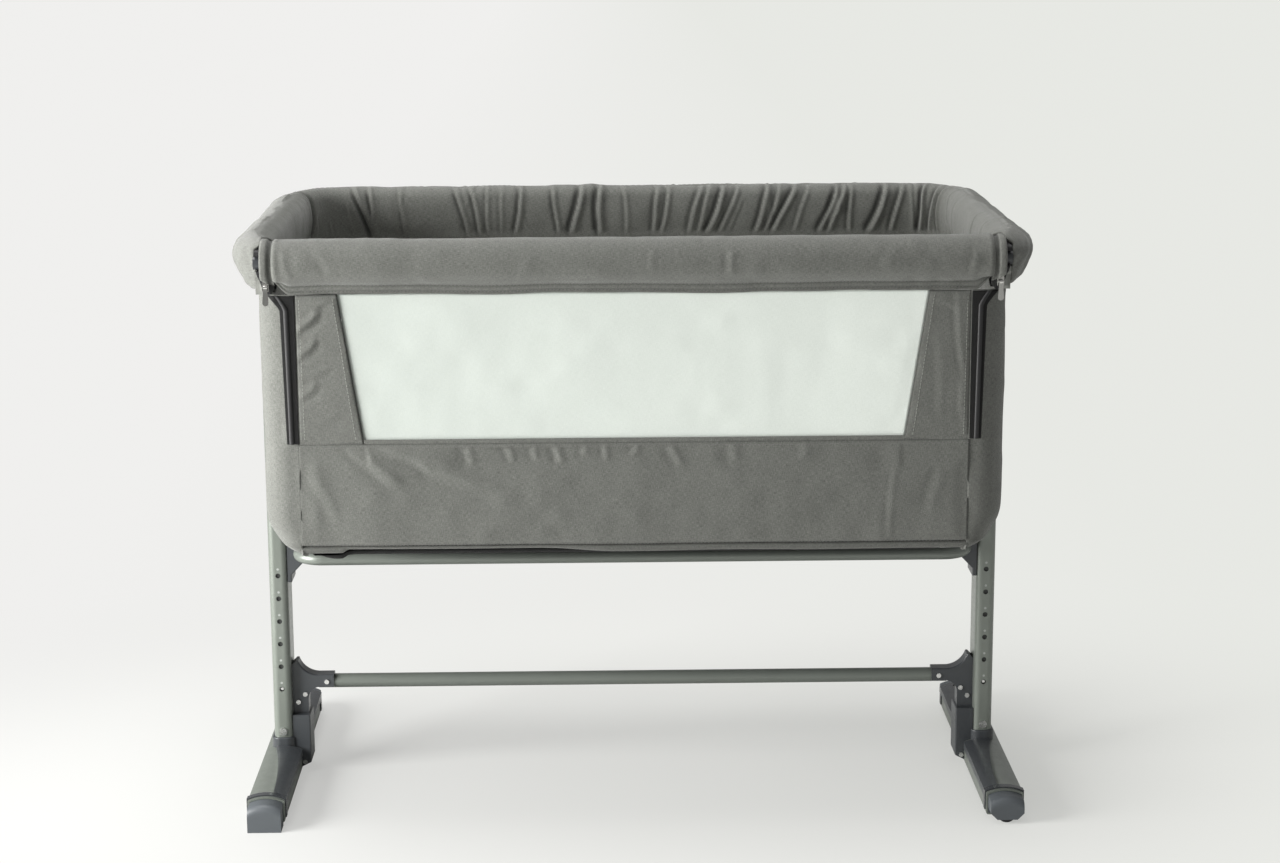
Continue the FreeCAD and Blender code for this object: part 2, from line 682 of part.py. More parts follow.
def makeSocket(sideName, side):
    tag = sideName.title()
    collar = newBody("Collar" + tag)
    plan = newSketch(collar, "CollarPlan" + tag, "XY_Plane")
    drawRounded(plan, "Collar", collarHalfX, collarHalfY, D.uprightCorner + D.socketWall)
    whole = pad(collar, plan, D.socketCollar + D.footCrown + D.footWall, False)
    high = (D.socketCollar + D.footCrown + D.footWall).value
    roundEdges(collar, whole, D.ringProud, lambda p, e: abs(p.z - high) < 0.1)
    place(collar, half * side, zero, barTop - D.footWall)
    parts = [collar]
    for endName, end in ends.items():
        wedge = newBody("Wedge" + tag + endName)
        outline = newSketch(wedge, "WedgePlan" + tag + endName, "XY_Plane")
        drawWedge(outline, "Wedge", -side, end)
        pad(wedge, outline, D.footSide, False)
        place(wedge, half * side, zero, barTop - D.footWall * 4)
        skin = barSolid("Skin" + tag + endName, D.ringProud, D.footLift, D.footLength - 2)
        place(skin, half * side)
        parts.append(common("WedgeSkin" + tag + endName, wedge, skin))
    sideBox = newBody("SideBox" + tag)
    face = newSketch(sideBox, "SideBoxFace" + tag, "XZ_Plane")
    inward = zero - boxOuter
    wall = zero - D.uprightWidth / 2
    corners = [(inward, D.boxFloor + D.boxSlope), (zero - barHalf, D.boxFloor),
               (wall, D.boxFloor), (wall, D.boxTop), (inward, D.boxTop)]
    if side < 0:
        corners = [(zero - x, z) for x, z in reversed(corners)]
    drawOutline(face, "Face", corners)
    block = pad(sideBox, face, D.boxDepth)
    roundEdges(sideBox, block, D.gussetEdge,
               lambda p, e: abs(abs(p.x) - boxOuter.value) < 0.1)
    place(sideBox, half * side)
    parts.append(sideBox)
    whole = fuse("SocketWhole" + tag, parts)
    bar = barSolid("SocketBar" + tag, zero, D.footLift, D.footLength)
    place(bar, half * side)
    well = newBody("Well" + tag)
    wellPlan = newSketch(well, "WellPlan" + tag, "XY_Plane")
    drawRounded(wellPlan, "Well", D.uprightWidth / 2, D.uprightDepth / 2, D.uprightCorner)
    pad(well, wellPlan, D.boxTop, False)
    place(well, half * side, zero, D.uprightFoot)
    tools = fuse("SocketTools" + tag, [bar, well])
    keep(cut("Socket" + tag, whole, tools), "foot_socket_" + sideName)


# ---- lower crossbar and its gussets -------------------------------------------------

barRadius = D.crossbarDiameter / 2
sleeveTop = D.crossbarHeight + barRadius + D.sleeveWall
sleeveFloor = D.crossbarHeight - D.sleeveOpen
gussetMouth = innerFace - D.gussetReach


def makeCrossbar():
    reach = gussetMouth + D.gussetSeat
    body = newBody("Crossbar")
    sketch = newSketch(body, "CrossbarSection", "YZ_Plane")
    drawCircle(sketch, "Outer", zero, D.crossbarHeight, barRadius)
    drawCircle(sketch, "Inner", zero, D.crossbarHeight, barRadius - D.crossbarWall)
    pad(body, sketch, reach * 2)
    keep(body, "lower_crossbar")


def makeGusset(sideName, side):
    tag = sideName.title()
    body = newBody("Gusset" + tag)
    sketch = newSketch(body, "GussetFace" + tag, "XZ_Plane")
    shelf = innerFace - D.gussetShelf
    tip = innerFace - D.gussetTipWidth
    neck = innerFace - D.gussetNeck
    corners = [(innerFace, D.boxTop), (innerFace, D.gussetTip - D.gussetHeel),
               (innerFace - D.gussetHeel, D.gussetTip), (tip, D.gussetTip),
               (shelf, sleeveTop), (gussetMouth, sleeveTop), (gussetMouth, sleeveFloor),
               (neck - D.gussetFillet, sleeveFloor), (neck, sleeveFloor - D.gussetFillet),
               (neck, D.boxTop)]
    bends = {3: (D.gussetSweep, -1), 7: (D.gussetFillet, -1)}
    if side < 0:
        corners = [(zero - x, z) for x, z in corners]
        bends = {i: (radius, -turn) for i, (radius, turn) in bends.items()}
    drawOutline(sketch, "Face", corners, bends)
    whole = pad(body, sketch, D.gussetDepth)
    deep = D.gussetDepth.value / 2
    roundEdges(body, whole, D.gussetEdge,
               lambda p, e: abs(abs(p.y) - deep) < 0.1
               and sleeveTop.value - 0.1 < p.z < D.gussetTip.value - 0.5
               and abs(p.x) < tip.value)
    bore = rod("GussetBore" + tag, "x", (spread(side, gussetMouth, gussetMouth + D.gussetSeat)[0],
                                         zero, D.crossbarHeight), barRadius, D.gussetSeat)
    keep(cut("GussetBored" + tag, body, bore), "crossbar_gusset_" + sideName)


def makeScrews():
    heads = []
    spots = [
        (D.sleeveScrew, D.crossbarHeight + D.sleeveScrewRise),
        (D.neckScrew, sleeveFloor - D.neckScrewDrop),
        (D.lowScrew, sleeveFloor - D.lowScrewDrop),
    ]
    face = zero - D.gussetDepth / 2
    for sideName, side in sides.items():
        for number, (inset, height) in enumerate(spots):
            heads.append(rod(f"Screw{number}{sideName}", "y",
                             ((innerFace - inset) * side, face - D.screwHeight, height),
                             D.screwDiameter / 2, D.screwHeight))
        x = (half - barHalf - D.boxReach / 3) * side
        heads.append(rod("BoxScrew" + sideName, "y",
                         (x, zero - D.boxDepth / 2 - D.screwHeight, D.boxFloor + D.boxScrew),
                         D.screwDiameter / 2, D.screwHeight))
    keep(group("Screws", heads), "socket_screws")


# ---- brace loop ---------------------------------------------------------------------

loopEnd = innerFace - D.loopInset


def tubeAlong(path, radius, wall):
    # a hollow tube that follows a wire from its first point
    edge = path.OrderedEdges[0]
    start = edge.valueAt(edge.FirstParameter)
    along = edge.tangentAt(edge.FirstParameter)
    outer, inner = [
        path.makePipeShell([Part.Wire([Part.Circle(start, along, r).toShape()])], True, True)
        for r in (radius, radius - wall)]
    return outer.cut(inner)


def makeLoop(endName, end):
    # half of a rounded rectangle in plan, from one bracket to the other
    x, y = loopEnd.value, D.loopReach.value * end
    bend = D.loopBend.value
    height = D.loopHeight.value
    inset = bend * end
    soft = bend * (1 - math.sqrt(0.5))

    def at(px, py):
        return FreeCAD.Vector(px, py, height)
    edges = [
        Part.LineSegment(at(x, 0), at(x, y - inset)),
        Part.Arc(at(x, y - inset), at(x - soft, y - soft * end), at(x - bend, y)),
        Part.LineSegment(at(x - bend, y), at(bend - x, y)),
        Part.Arc(at(bend - x, y), at(soft - x, y - soft * end), at(-x, y - inset)),
        Part.LineSegment(at(-x, y - inset), at(-x, 0)),
    ]
    path = Part.Wire([edge.toShape() for edge in edges])
    tube = tubeAlong(path, D.loopDiameter.value / 2, D.loopWall.value)
    shaped("base_loop_" + endName, tube, False)


def makeBracket(sideName, side):
    # block that grips the end of the loop, with a slanted underside and a tail
    tag = sideName.title()
    body = newBody("Bracket" + tag)
    sketch = newSketch(body, "BracketFace" + tag, "XZ_Plane")
    gripped = loopEnd - D.loopDiameter / 2 - D.sleeveWall
    tail = innerFace - D.bracketTailWidth
    under = D.loopHeight - D.loopDiameter / 2 - D.sleeveWall
    corners = [(innerFace, D.bracketTail), (innerFace, D.bracketTop), (gripped, D.bracketTop),
               (gripped, under), (tail - D.bracketTailWidth, D.bracketFloor),
               (tail, D.bracketFloor - D.bracketTailWidth), (tail, D.bracketTail)]
    if side < 0:
        corners = [(zero - x, z) for x, z in corners]
    drawOutline(sketch, "Face", corners)
    whole = pad(body, sketch, D.bracketDepth)
    deep = D.bracketDepth.value / 2
    roundEdges(body, whole, D.bracketEdge,
               lambda p, e: abs(abs(p.y) - deep) < 0.1 and abs(p.x) < innerFace.value - 2)
    bore = rod("BracketBore" + tag, "y",
               (loopEnd * side, zero - D.bracketDepth, D.loopHeight),
               D.loopDiameter / 2, D.bracketDepth * 2)
    keep(cut("BracketBored" + tag, body, bore), "loop_bracket_" + sideName)


# ---- rail tubes and padded covers ---------------------------------------------------

def teardrop(origin, out, up):
    # section of the padded cover: round above, narrowing to a flat lower edge
    r = D.coverRadius.value
    waist = D.coverWaist.value
    tail = D.coverTail.value
    flat = D.coverTailWidth.value / 2
    wide = math.sqrt(r * r - waist * waist)

    def at(a, b):
        return origin + out * a + up * b
    edges = [
        Part.Arc(at(wide, -waist), at(0, r), at(-wide, -waist)).toShape(),
        Part.LineSegment(at(-wide, -waist), at(-flat, -tail)).toShape(),
        Part.LineSegment(at(-flat, -tail), at(flat, -tail)).toShape(),
        Part.LineSegment(at(flat, -tail), at(wide, -waist)).toShape(),
    ]
    return Part.Face(Part.Wire(edges))


def roundFace(origin, axis, radius):
    return Part.Face(Part.Wire([Part.Circle(origin, axis, radius).toShape()]))


up = FreeCAD.Vector(0, 0, 1)
cornerX = railEnd.value - D.railCorner.value
cornerY = D.railReach.value - D.railCorner.value


def endRun(side, section, stop):
    # sweeps a section round one end of the crib: from the front corner, where it stops
    # at an angle, along the end and round the rear corner
    pieces = []
    high = D.railHeight.value
    x = railEnd.value * side
    outward = FreeCAD.Vector(side, 0, 0)
    straight = section(FreeCAD.Vector(x, -cornerY, high), outward)
    pieces.append(straight.extrude(FreeCAD.Vector(0, 2 * cornerY, 0)))
    front = FreeCAD.Vector(cornerX * side, -cornerY, high)
    rear = FreeCAD.Vector(cornerX * side, cornerY, high)
    pieces.append(straight.revolve(front, up, -stop * side))
    back = section(FreeCAD.Vector(x, cornerY, high), outward)
    pieces.append(back.revolve(rear, up, 90 * side))
    return pieces[0].fuse(pieces[1:]).removeSplitter()


tubeRadius = D.railTube.value / 2
boreRadius = tubeRadius - D.railWall.value


def tubeSection(origin, out):
    return roundFace(origin, FreeCAD.Vector(0, 1, 0), tubeRadius)


def boreSection(origin, out):
    return roundFace(origin, FreeCAD.Vector(0, 1, 0), boreRadius)


def coverSection(origin, out):
    return teardrop(origin, out, up)


def makeEndTube(sideName, side):
    stop = D.cornerStart.value + D.tubeShow.value
    tube = endRun(side, tubeSection, stop).cut(endRun(side, boreSection, stop))
    shaped("rail_tube_" + sideName, tube)


def makeEndCover(sideName, side):
    # the outer side of the cover runs on past the mouth and laps the clip
    near = endRun(side, coverSection, D.cornerStart.value)
    far = endRun(side, coverSection, D.mouthTurn.value)
    size = D.railHeight.value
    start = (plugReach + D.mouthGap).value
    beyond = Part.makeBox(size, size, 2 * size,
                          FreeCAD.Vector(start if side > 0 else -start - size, -size, 0))
    solid = near.fuse(far.common(beyond))
    core = endRun(side, tubeSection, D.cornerStart.value)
    wide, deep = [(size + D.layGap).value for size in (innerHalfX, innerHalfY)]
    slot = Part.makeBox(2 * wide, 2 * deep, D.railHeight.value,
                        FreeCAD.Vector(half.value * side - wide, -deep, 0))
    shaped("rail_cover_" + sideName, solid.cut([core, slot]))


def makeRearRail():
    reach = cornerX
    start = FreeCAD.Vector(-reach, D.railReach.value, D.railHeight.value)
    along = FreeCAD.Vector(2 * reach, 0, 0)
    tube = roundFace(start, FreeCAD.Vector(1, 0, 0), tubeRadius).extrude(along)
    bore = roundFace(start, FreeCAD.Vector(1, 0, 0), boreRadius).extrude(along)
    cover = teardrop(start, FreeCAD.Vector(0, 1, 0), up).extrude(along)
    shaped("rail_tube_rear", tube.cut(bore))
    shaped("rail_cover_rear", cover.cut(tube))


plugRoot = frontRailHalf - D.plugFlange


def makeRim(side):
    # an open sleeve over the clip, cut away where the clip and the slider stand
    radius = D.coverRadius.value
    inside = radius - D.rimWall.value
    axis = FreeCAD.Vector(side, 0, 0)
    start = FreeCAD.Vector((frontRailHalf.value - 1) * side, -D.railReach.value,
                           D.railHeight.value)
    along = axis * (D.rimReach.value + 1)
    sleeve = roundFace(start, axis, radius).extrude(along)
    sleeve = sleeve.cut(roundFace(start, axis, inside).extrude(along))
    corner = start + FreeCAD.Vector(-2 * radius, 0, -2 * radius)
    rise = (D.clipHeight / 2 + D.rimGap).value
    low = Part.makeBox(4 * radius, 4 * radius, 2 * radius - D.rimDrop.value,
                       corner - FreeCAD.Vector(0, 2 * radius, 0))
    back = Part.makeBox(4 * radius, 2 * radius, 2 * radius + rise, corner)
    return sleeve.cut([low, back])


def makeFrontRail():
    reach = plugRoot.value
    high = D.railHeight.value
    start = FreeCAD.Vector(-reach, -D.railReach.value, high)
    long = frontRailHalf.value
    along = FreeCAD.Vector(2 * reach, 0, 0)
    tube = roundFace(start, FreeCAD.Vector(1, 0, 0), tubeRadius).extrude(along)
    bore = roundFace(start, FreeCAD.Vector(1, 0, 0), boreRadius).extrude(along)
    shaped("front_rail_tube", tube.cut(bore))
    edge = FreeCAD.Vector(-long, -D.railReach.value, high)
    cover = teardrop(edge, FreeCAD.Vector(0, 1, 0), up).extrude(FreeCAD.Vector(2 * long, 0, 0))
    core = roundFace(edge, FreeCAD.Vector(1, 0, 0), tubeRadius)
    cover = cover.cut(core.extrude(FreeCAD.Vector(2 * long, 0, 0)))
    shaped("front_rail_cover", cover.fuse([makeRim(side) for side in sides.values()]))


def makePlug(sideName, side):
    # a flange inside the end of the cover and a pin on each side of it
    pin = rod("PlugPin" + sideName, "x",
              (spread(side, plugRoot - D.plugSeat, plugReach)[0], zero - D.railReach,
               D.railHeight),
              D.plugDiameter / 2, plugReach - plugRoot + D.plugSeat)
    flange = rod("PlugFlange" + sideName, "x",
                 (spread(side, plugRoot, frontRailHalf)[0], zero - D.railReach, D.railHeight),
                 D.railTube / 2, frontRailHalf - plugRoot)
    keep(fuse("Plug" + sideName, [pin, flange]), "rail_plug_" + sideName)


panelTop = D.railHeight - D.coverTail
clipStart = frontRailHalf + D.clipAway


def makeClip(sideName, side):
    # the mouth opens to the front and lets the plug swing out, and a skirt reaches down
    # to the corner of the basket
    x = spread(side, clipStart, clipStart + D.clipWidth)
    radius = D.plugDiameter / 2 + D.clipGap
    lip = D.railHeight - D.clipHeight / 2
    high = D.railHeight + D.clipHeight / 2
    block = newBody("Clip" + sideName)
    face = newSketch(block, "ClipFace" + sideName, "YZ_Plane")
    corners = [(zero - clipFront, lip), (zero - clipSkirt, lip - D.clipEdge),
               (zero - clipSkirt, panelTop + D.layGap), (zero - clipBack, panelTop + D.layGap),
               (zero - clipBack, high), (zero - clipFront, high)]
    drawOutline(face, "Clip", corners)
    whole = pad(block, face, D.clipWidth)
    roundEdges(block, whole, D.clipEdge,
               lambda p, e: abs(p.z - high.value) < 0.1 and abs(e.tangentAt(0).x) > 0.9)
    place(block, (clipStart + D.clipWidth / 2) * side)
    bore = rod("ClipBore" + sideName, "x", (x[0], zero - D.railReach, D.railHeight),
               radius, D.clipWidth)
    mouth = box("ClipMouth" + sideName, x, (zero - clipFront, zero - D.railReach),
                (D.railHeight - radius, D.railHeight + radius))
    open = cut("ClipOpen" + sideName, block, fuse("ClipTools" + sideName, [bore, mouth]))
    doc.recompute()
    taken = endRun(side, coverSection, D.cornerStart.value)
    tube = endRun(side, tubeSection, D.cornerStart.value + D.tubeShow.value)
    shaped("rail_clip_" + sideName, open.Shape.cut([taken, tube]))


# ---- basket fabric ------------------------------------------------------------------

def basketBlock(inset):
    # the outer or inner form of the basket: rounded in plan and along its lower ends
    x = basketHalf.value - inset
    y = basketReach.value - inset
    corner = D.basketCorner.value - inset
    floor = D.basketFloor.value + inset
    high = D.railHeight.value - D.coverTail.value
    block = Part.makeBox(2 * x, 2 * y, high - floor, FreeCAD.Vector(-x, -y, floor))
    upright = [e for e in block.Edges if abs(e.tangentAt(e.FirstParameter).z) > 0.9]
    block = block.makeFillet(corner, upright)
    radius = D.basketRound.value - inset
    edges = [
        Part.LineSegment(FreeCAD.Vector(-x + radius, 0, floor), FreeCAD.Vector(x - radius, 0, floor)),
        Part.Arc(FreeCAD.Vector(x - radius, 0, floor),
                 FreeCAD.Vector(x - radius * (1 - math.sqrt(0.5)), 0,
                                floor + radius * (1 - math.sqrt(0.5))),
                 FreeCAD.Vector(x, 0, floor + radius)),
        Part.LineSegment(FreeCAD.Vector(x, 0, floor + radius), FreeCAD.Vector(x, 0, high)),
        Part.LineSegment(FreeCAD.Vector(x, 0, high), FreeCAD.Vector(-x, 0, high)),
        Part.LineSegment(FreeCAD.Vector(-x, 0, high), FreeCAD.Vector(-x, 0, floor + radius)),
        Part.Arc(FreeCAD.Vector(-x, 0, floor + radius),
                 FreeCAD.Vector(-x + radius * (1 - math.sqrt(0.5)), 0,
                                floor + radius * (1 - math.sqrt(0.5))),
                 FreeCAD.Vector(-x + radius, 0, floor)),
    ]
    profile = Part.Face(Part.Wire([e.toShape() for e in edges]))
    profile.translate(FreeCAD.Vector(0, -y, 0))
    return block.common(profile.extrude(FreeCAD.Vector(0, 2 * y, 0)))


def region(x, y, z):
    size = [b - a for a, b in (x, y, z)]
    return Part.makeBox(*size, FreeCAD.Vector(x[0], y[0], z[0]))


def makeBasket():
    shell = basketBlock(0).cut(basketBlock(D.fabric.value))
    edge = panelHalf.value
    far = basketHalf.value + 1
    reach = basketReach.value
    skin = D.fabric.value
    floor = D.basketFloor.value
    seam = D.bandTop.value
    top = D.railHeight.value
    inside = reach - skin
    for sideName, side in sides.items():
        x = (edge, far) if side > 0 else (-far, -edge)
        end = shell.common(region(x, (-reach - 1, reach + 1), (floor - 1, top)))
        shaped("end_panel_" + sideName, end)
    long = (-edge, edge)
    shaped("front_band", shell.common(region(long, (-reach - 1, -inside), (floor - 1, seam))))
    shaped("rear_band", shell.common(region(long, (inside, reach + 1), (floor - 1, seam))))
    shaped("bottom_panel", shell.common(region(long, (-inside, inside), (floor - 1, seam))))


def makeStrip(label, side, end, floor):
    # the padded cloth beside one end of the window
    body = newBody("Strip" + label.title().replace("_", ""))
    sketch = newSketch(body, "StripFace" + body.Name, "XZ_Plane")
    edge = panelHalf if end > 0 else panelHalf - D.seamGap
    corners = [(edge * side, floor), (edge * side, panelTop),
               (windowTop * side, panelTop), (windowBottom * side, floor)]
    drawOutline(sketch, "Strip", corners)
    pad(body, sketch, D.fabric)
    place(body, zero, (basketReach - D.fabric / 2) * end)
    keep(body, label)


def makeWindow(label, end, floor):
    body = newBody("Window" + label.title().replace("_", ""))
    sketch = newSketch(body, "WindowFace" + body.Name, "XZ_Plane")
    corners = [(zero - windowBottom, floor), (windowBottom, floor),
               (windowTop, panelTop), (zero - windowTop, panelTop)]
    drawOutline(sketch, "Window", corners)
    pad(body, sketch, D.meshThickness)
    place(body, zero, (basketReach - D.fabric / 2) * end)
    keep(body, label)


def makePanels():
    seam = D.bandTop + D.seamGap
    for sideName, side in sides.items():
        makeStrip("front_panel_" + sideName, side, -1, seam)
        makeStrip("rear_panel_" + sideName, side, 1, D.bandTop)
    makeWindow("front_window", -1, seam)
    makeWindow("rear_window", 1, D.bandTop)


def makeBoard():
    body = newBody("Board")
    plan = newSketch(body, "BoardPlan", "XY_Plane")
    drawRounded(plan, "Board", basketHalf - D.boardInset, basketReach - D.boardSideInset,
                D.basketCorner)
    pad(body, plan, D.boardThickness, False)
    place(body, zero, zero, D.basketFloor + D.fabric + D.layGap)
    keep(body, "base_board")


def makeMattress():
    # crowned across, rounded at its edges, with sewn channels from front to back
    low = D.basketFloor + D.fabric + D.layGap + D.boardThickness + D.layGap
    body = newBody("Mattress")
    section = newSketch(body, "MattressSection", "YZ_Plane")
    long = basketHalf - D.mattressInset
    reach = basketReach - D.mattressSideInset
    corners = [(zero - reach, zero), (reach, zero), (reach, D.mattressSide),
               (zero - reach, D.mattressSide)]
    drawOutline(section, "Section", corners, {2: (crownRadius(reach, D.mattressCrown), 1)})
    whole = pad(body, section, long * 2)
    corner = roundEdges(body, whole, D.mattressCorner,
                        lambda p, e: abs(abs(p.y) - reach.value) < 0.1
                        and abs(abs(p.x) - long.value) < 0.1)
    roundEdges(body, corner, D.mattressEdge,
               lambda p, e: p.z > D.mattressSide.value - 0.1)
    place(body, zero, zero, low)
    grooves = []
    radius = crownRadius(reach, D.mattressCrown) + D.channelWidth / 4
    for step in range(-2, 3):
        ring = doc.addObject("Part::Torus", f"Channel{step + 2}")
        ring.Placement = FreeCAD.Placement(FreeCAD.Vector(), turns["x"])
        bind(ring, "Radius1", radius)
        bind(ring, "Radius2", D.channelWidth / 2)
        place(ring, D.channelPitch * step, zero,
              low + D.mattressSide + D.mattressCrown + D.channelWidth / 4 - radius)
        grooves.append(ring)
    keep(cut("MattressSewn", body, fuse("Channels", grooves)), "mattress")


# ---- zips ---------------------------------------------------------------------------

def makeTapes():
    # strips that lie on the fabric and follow the corner of the basket
    tapes = []
    inner = (panelHalf + D.seamGap).value
    low = inner + D.tapeWidth.value
    high = inner + D.tapeTopWidth.value
    skin = basketBlock(-D.tapeThickness.value).cut(basketBlock(0))
    for side in sides.values():
        corners = [(inner, D.bandTop.value), (low, D.bandTop.value), (high, panelTop.value),
                   (inner, panelTop.value)]
        points = [FreeCAD.Vector(x * side, -basketReach.value - 5, z) for x, z in corners]
        face = Part.Face(Part.makePolygon(points + points[:1]))
        deep = FreeCAD.Vector(0, D.basketCorner.value, 0)
        tapes.append(skin.common(face.extrude(deep)))
    shaped("zip_tapes", Part.makeCompound(tapes), False)


# the slider starts in front of the clip's skirt
sliderFace = clipSkirt + D.sliderGap
pinY = sliderFace + D.sliderDepth + D.pinReach


def makeSlider(sideName, side):
    x = sliderX * side
    block = box("SliderBlock" + sideName,
                (x - D.sliderWidth / 2, x + D.sliderWidth / 2),
                (zero - sliderFace - D.sliderDepth, zero - sliderFace),
                (sliderZ - D.sliderHeight / 2, sliderZ + D.sliderHeight / 2))
    soft = doc.addObject("Part::Chamfer", "SliderSoft" + sideName)
    soft.Base = block
    doc.recompute()
    chosen = [(i, 1.2, 1.2) for i, e in enumerate(block.Shape.Edges, start=1)
              if abs(e.tangentAt(e.FirstParameter).y) > 0.9]
    soft.Edges = chosen
    reach = D.pinLength / 2
    pin = rod("SliderPin" + sideName, "x", (x - reach, zero - pinY, sliderZ),
              D.pinDiameter / 2, D.pinLength)
    ears = []
    for n, near in enumerate((x - reach, x + reach - D.earWidth)):
        ears.append(box(f"SliderEar{n}{sideName}", (near, near + D.earWidth),
                        (zero - pinY - D.pinDiameter / 2, zero - sliderFace - D.sliderDepth + 1),
                        (sliderZ - D.pinDiameter / 2, sliderZ + D.pinDiameter / 2)))
    keep(fuse("Slider" + sideName, [soft, pin] + ears), "zip_slider_" + sideName)


def makePull(sideName, side):
    # a flat tongue under a knuckle that turns on the pin
    body = newBody("Pull" + sideName)
    face = newSketch(body, "PullFace" + sideName, "XZ_Plane")
    neck = D.pullNeck
    low = zero - D.pullLength
    full = D.pullWidth / 2
    corners = [(zero - full, low + full), (zero, low), (full, low + full),
               (neck, zero), (zero - neck, zero)]
    drawOutline(face, "Pull", corners, {0: (full, 1), 1: (full, 1)})
    pad(body, face, D.pullThickness)
    x = sliderX * side
    place(body, x, zero - pinY, sliderZ)
    start = (x - neck, zero - pinY, sliderZ)
    knuckle = rod("Knuckle" + sideName, "x", start, D.knuckleDiameter / 2, neck * 2)
    # the eye runs past the knuckle, through the tongue's slanting sides as well
    reach = D.pullWidth / 2
    start = (x - reach, zero - pinY, sliderZ)
    eye = rod("Eye" + sideName, "x", start, D.pinDiameter / 2 + D.pullSlack, reach * 2)
    whole = fuse("PullWhole" + sideName, [body, knuckle])
    keep(cut("PullBored" + sideName, whole, eye), "zip_pull_" + sideName)


# ---- snap buttons -------------------------------------------------------------------

buttonTip = frontFace - D.uprightWall - D.slideGap
springY = buttonTip - D.buttonLength


def makeButton(sideName, side):
    body = newBody("Button" + sideName)
    sketch = newSketch(body, "ButtonFace" + sideName, "XZ_Plane")
    drawCircle(sketch, "Button", zero, zero, D.buttonDiameter / 2)
    whole = pad(body, sketch, D.buttonLength)
    tip = -D.buttonLength.value / 2
    roundEdges(body, whole, D.buttonDiameter / 4, lambda p, e: abs(p.y - tip) < 0.1)
    place(body, half * side, zero - buttonTip + D.buttonLength / 2, D.lowestHole)
    keep(body, "snap_button_" + sideName)


def makeSprings():
    # a bent strip inside the inner tube, its free leg behind the button
    springs = []
    gap = D.slideGap
    back = innerHalfY - D.innerWall
    front = zero - springY + gap
    strip = D.springThickness
    for sideName, side in sides.items():
        body = newBody("Spring" + sideName)
        sketch = newSketch(body, "SpringSide" + sideName, "YZ_Plane")
        low = D.lowestHole - D.springWidth
        high = D.lowestHole + D.uprightDepth
        outer = (back - front) / 2
        inner = outer - strip
        middle = front + outer
        corners = [(front, low), (front + strip, low), (front + strip, high),
                   (middle, high + inner), (back - strip, high), (back - strip, low),
                   (back, low), (back, high), (middle, high + outer), (front, high)]
        drawOutline(sketch, "Spring", corners,
                    {2: (inner, -1), 3: (inner, -1), 7: (outer, 1), 8: (outer, 1)})
        pad(body, sketch, D.springWidth)
        place(body, half * side)
        springs.append(body)
    keep(group("Springs", springs), "button_springs")


# ---- the whole crib -----------------------------------------------------------------

for sideName, side in sides.items():
    makeFoot(sideName, side)
    for endName, end in ends.items():
        makeCap(sideName, side, endName, end)
    makeUpright(sideName, side)
    makeInnerTube(sideName, side)
    makeSocket(sideName, side)
    makeGusset(sideName, side)
    makeBracket(sideName, side)
    makeEndTube(sideName, side)
    makeEndCover(sideName, side)
    makePlug(sideName, side)
    makeClip(sideName, side)
    makeSlider(sideName, side)
    makePull(sideName, side)
    makeButton(sideName, side)
for endName, end in ends.items():
    makeWheel(endName, end)
    makeLoop(endName, end)
makeAxles()
makeRings()
makeGuides()
makeBolts()
makeCrossbar()
makeScrews()
makeRearRail()
makeFrontRail()
makeBasket()
makePanels()
makeBoard()
makeMattress()
makeTapes()
makeSprings()

doc.recompute()

failed = [thing.Label for thing in doc.Objects
          if "Invalid" in thing.State or "Error" in thing.State]
if failed:
    raise ValueError(f"these failed: {failed}")
for thing in nodes:
    shape = thing.Shape
    if shape.isNull() or not shape.isValid() or not shape.Solids:
        raise ValueError(f"{thing.Label} has no sound shape")

os.makedirs("parts", exist_ok=True)
for thing in nodes:
    shape = thing.Shape
    shape.exportStep(f"parts/{thing.Label}.step")
    corner = shape.BoundBox
    print(thing.Label, len(shape.Solids), round(shape.Volume),
          [round(v, 1) for v in (corner.XMin, corner.XMax, corner.YMin, corner.YMax,
                                 corner.ZMin, corner.ZMax)])
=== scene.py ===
import bmesh
import bpy
import math
import numpy as np
from mathutils import Matrix, Vector


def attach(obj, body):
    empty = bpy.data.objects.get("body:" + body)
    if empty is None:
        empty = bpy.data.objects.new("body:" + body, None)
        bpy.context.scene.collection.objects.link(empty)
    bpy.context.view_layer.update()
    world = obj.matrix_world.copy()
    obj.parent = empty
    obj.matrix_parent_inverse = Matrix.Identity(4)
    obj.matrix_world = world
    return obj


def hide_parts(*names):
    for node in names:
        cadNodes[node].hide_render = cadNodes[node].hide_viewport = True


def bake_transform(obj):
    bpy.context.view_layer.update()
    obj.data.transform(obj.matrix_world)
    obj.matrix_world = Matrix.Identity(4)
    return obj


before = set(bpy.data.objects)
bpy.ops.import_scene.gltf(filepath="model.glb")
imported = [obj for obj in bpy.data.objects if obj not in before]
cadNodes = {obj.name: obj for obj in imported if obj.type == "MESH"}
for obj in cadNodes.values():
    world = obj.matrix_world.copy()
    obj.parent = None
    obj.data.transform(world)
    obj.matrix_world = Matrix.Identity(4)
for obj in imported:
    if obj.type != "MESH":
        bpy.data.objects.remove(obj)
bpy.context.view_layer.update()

# Bedside sleeper crib: +X along the crib, -Y is the side that folds down, +Z up, metres.


def placed(name, data):
    thing = bpy.data.objects.new(name, data)
    bpy.context.scene.collection.objects.link(thing)
    return thing


# camera, placed so that the uprights, rails and feet fall where the photograph has them

view = {
    "place": (-0.04246, -3.20087, 1.12633),
    "lens": 72.756,
    "down": 0.211088,
    "turn": 0.016529,
    "roll": -0.0054121,
}


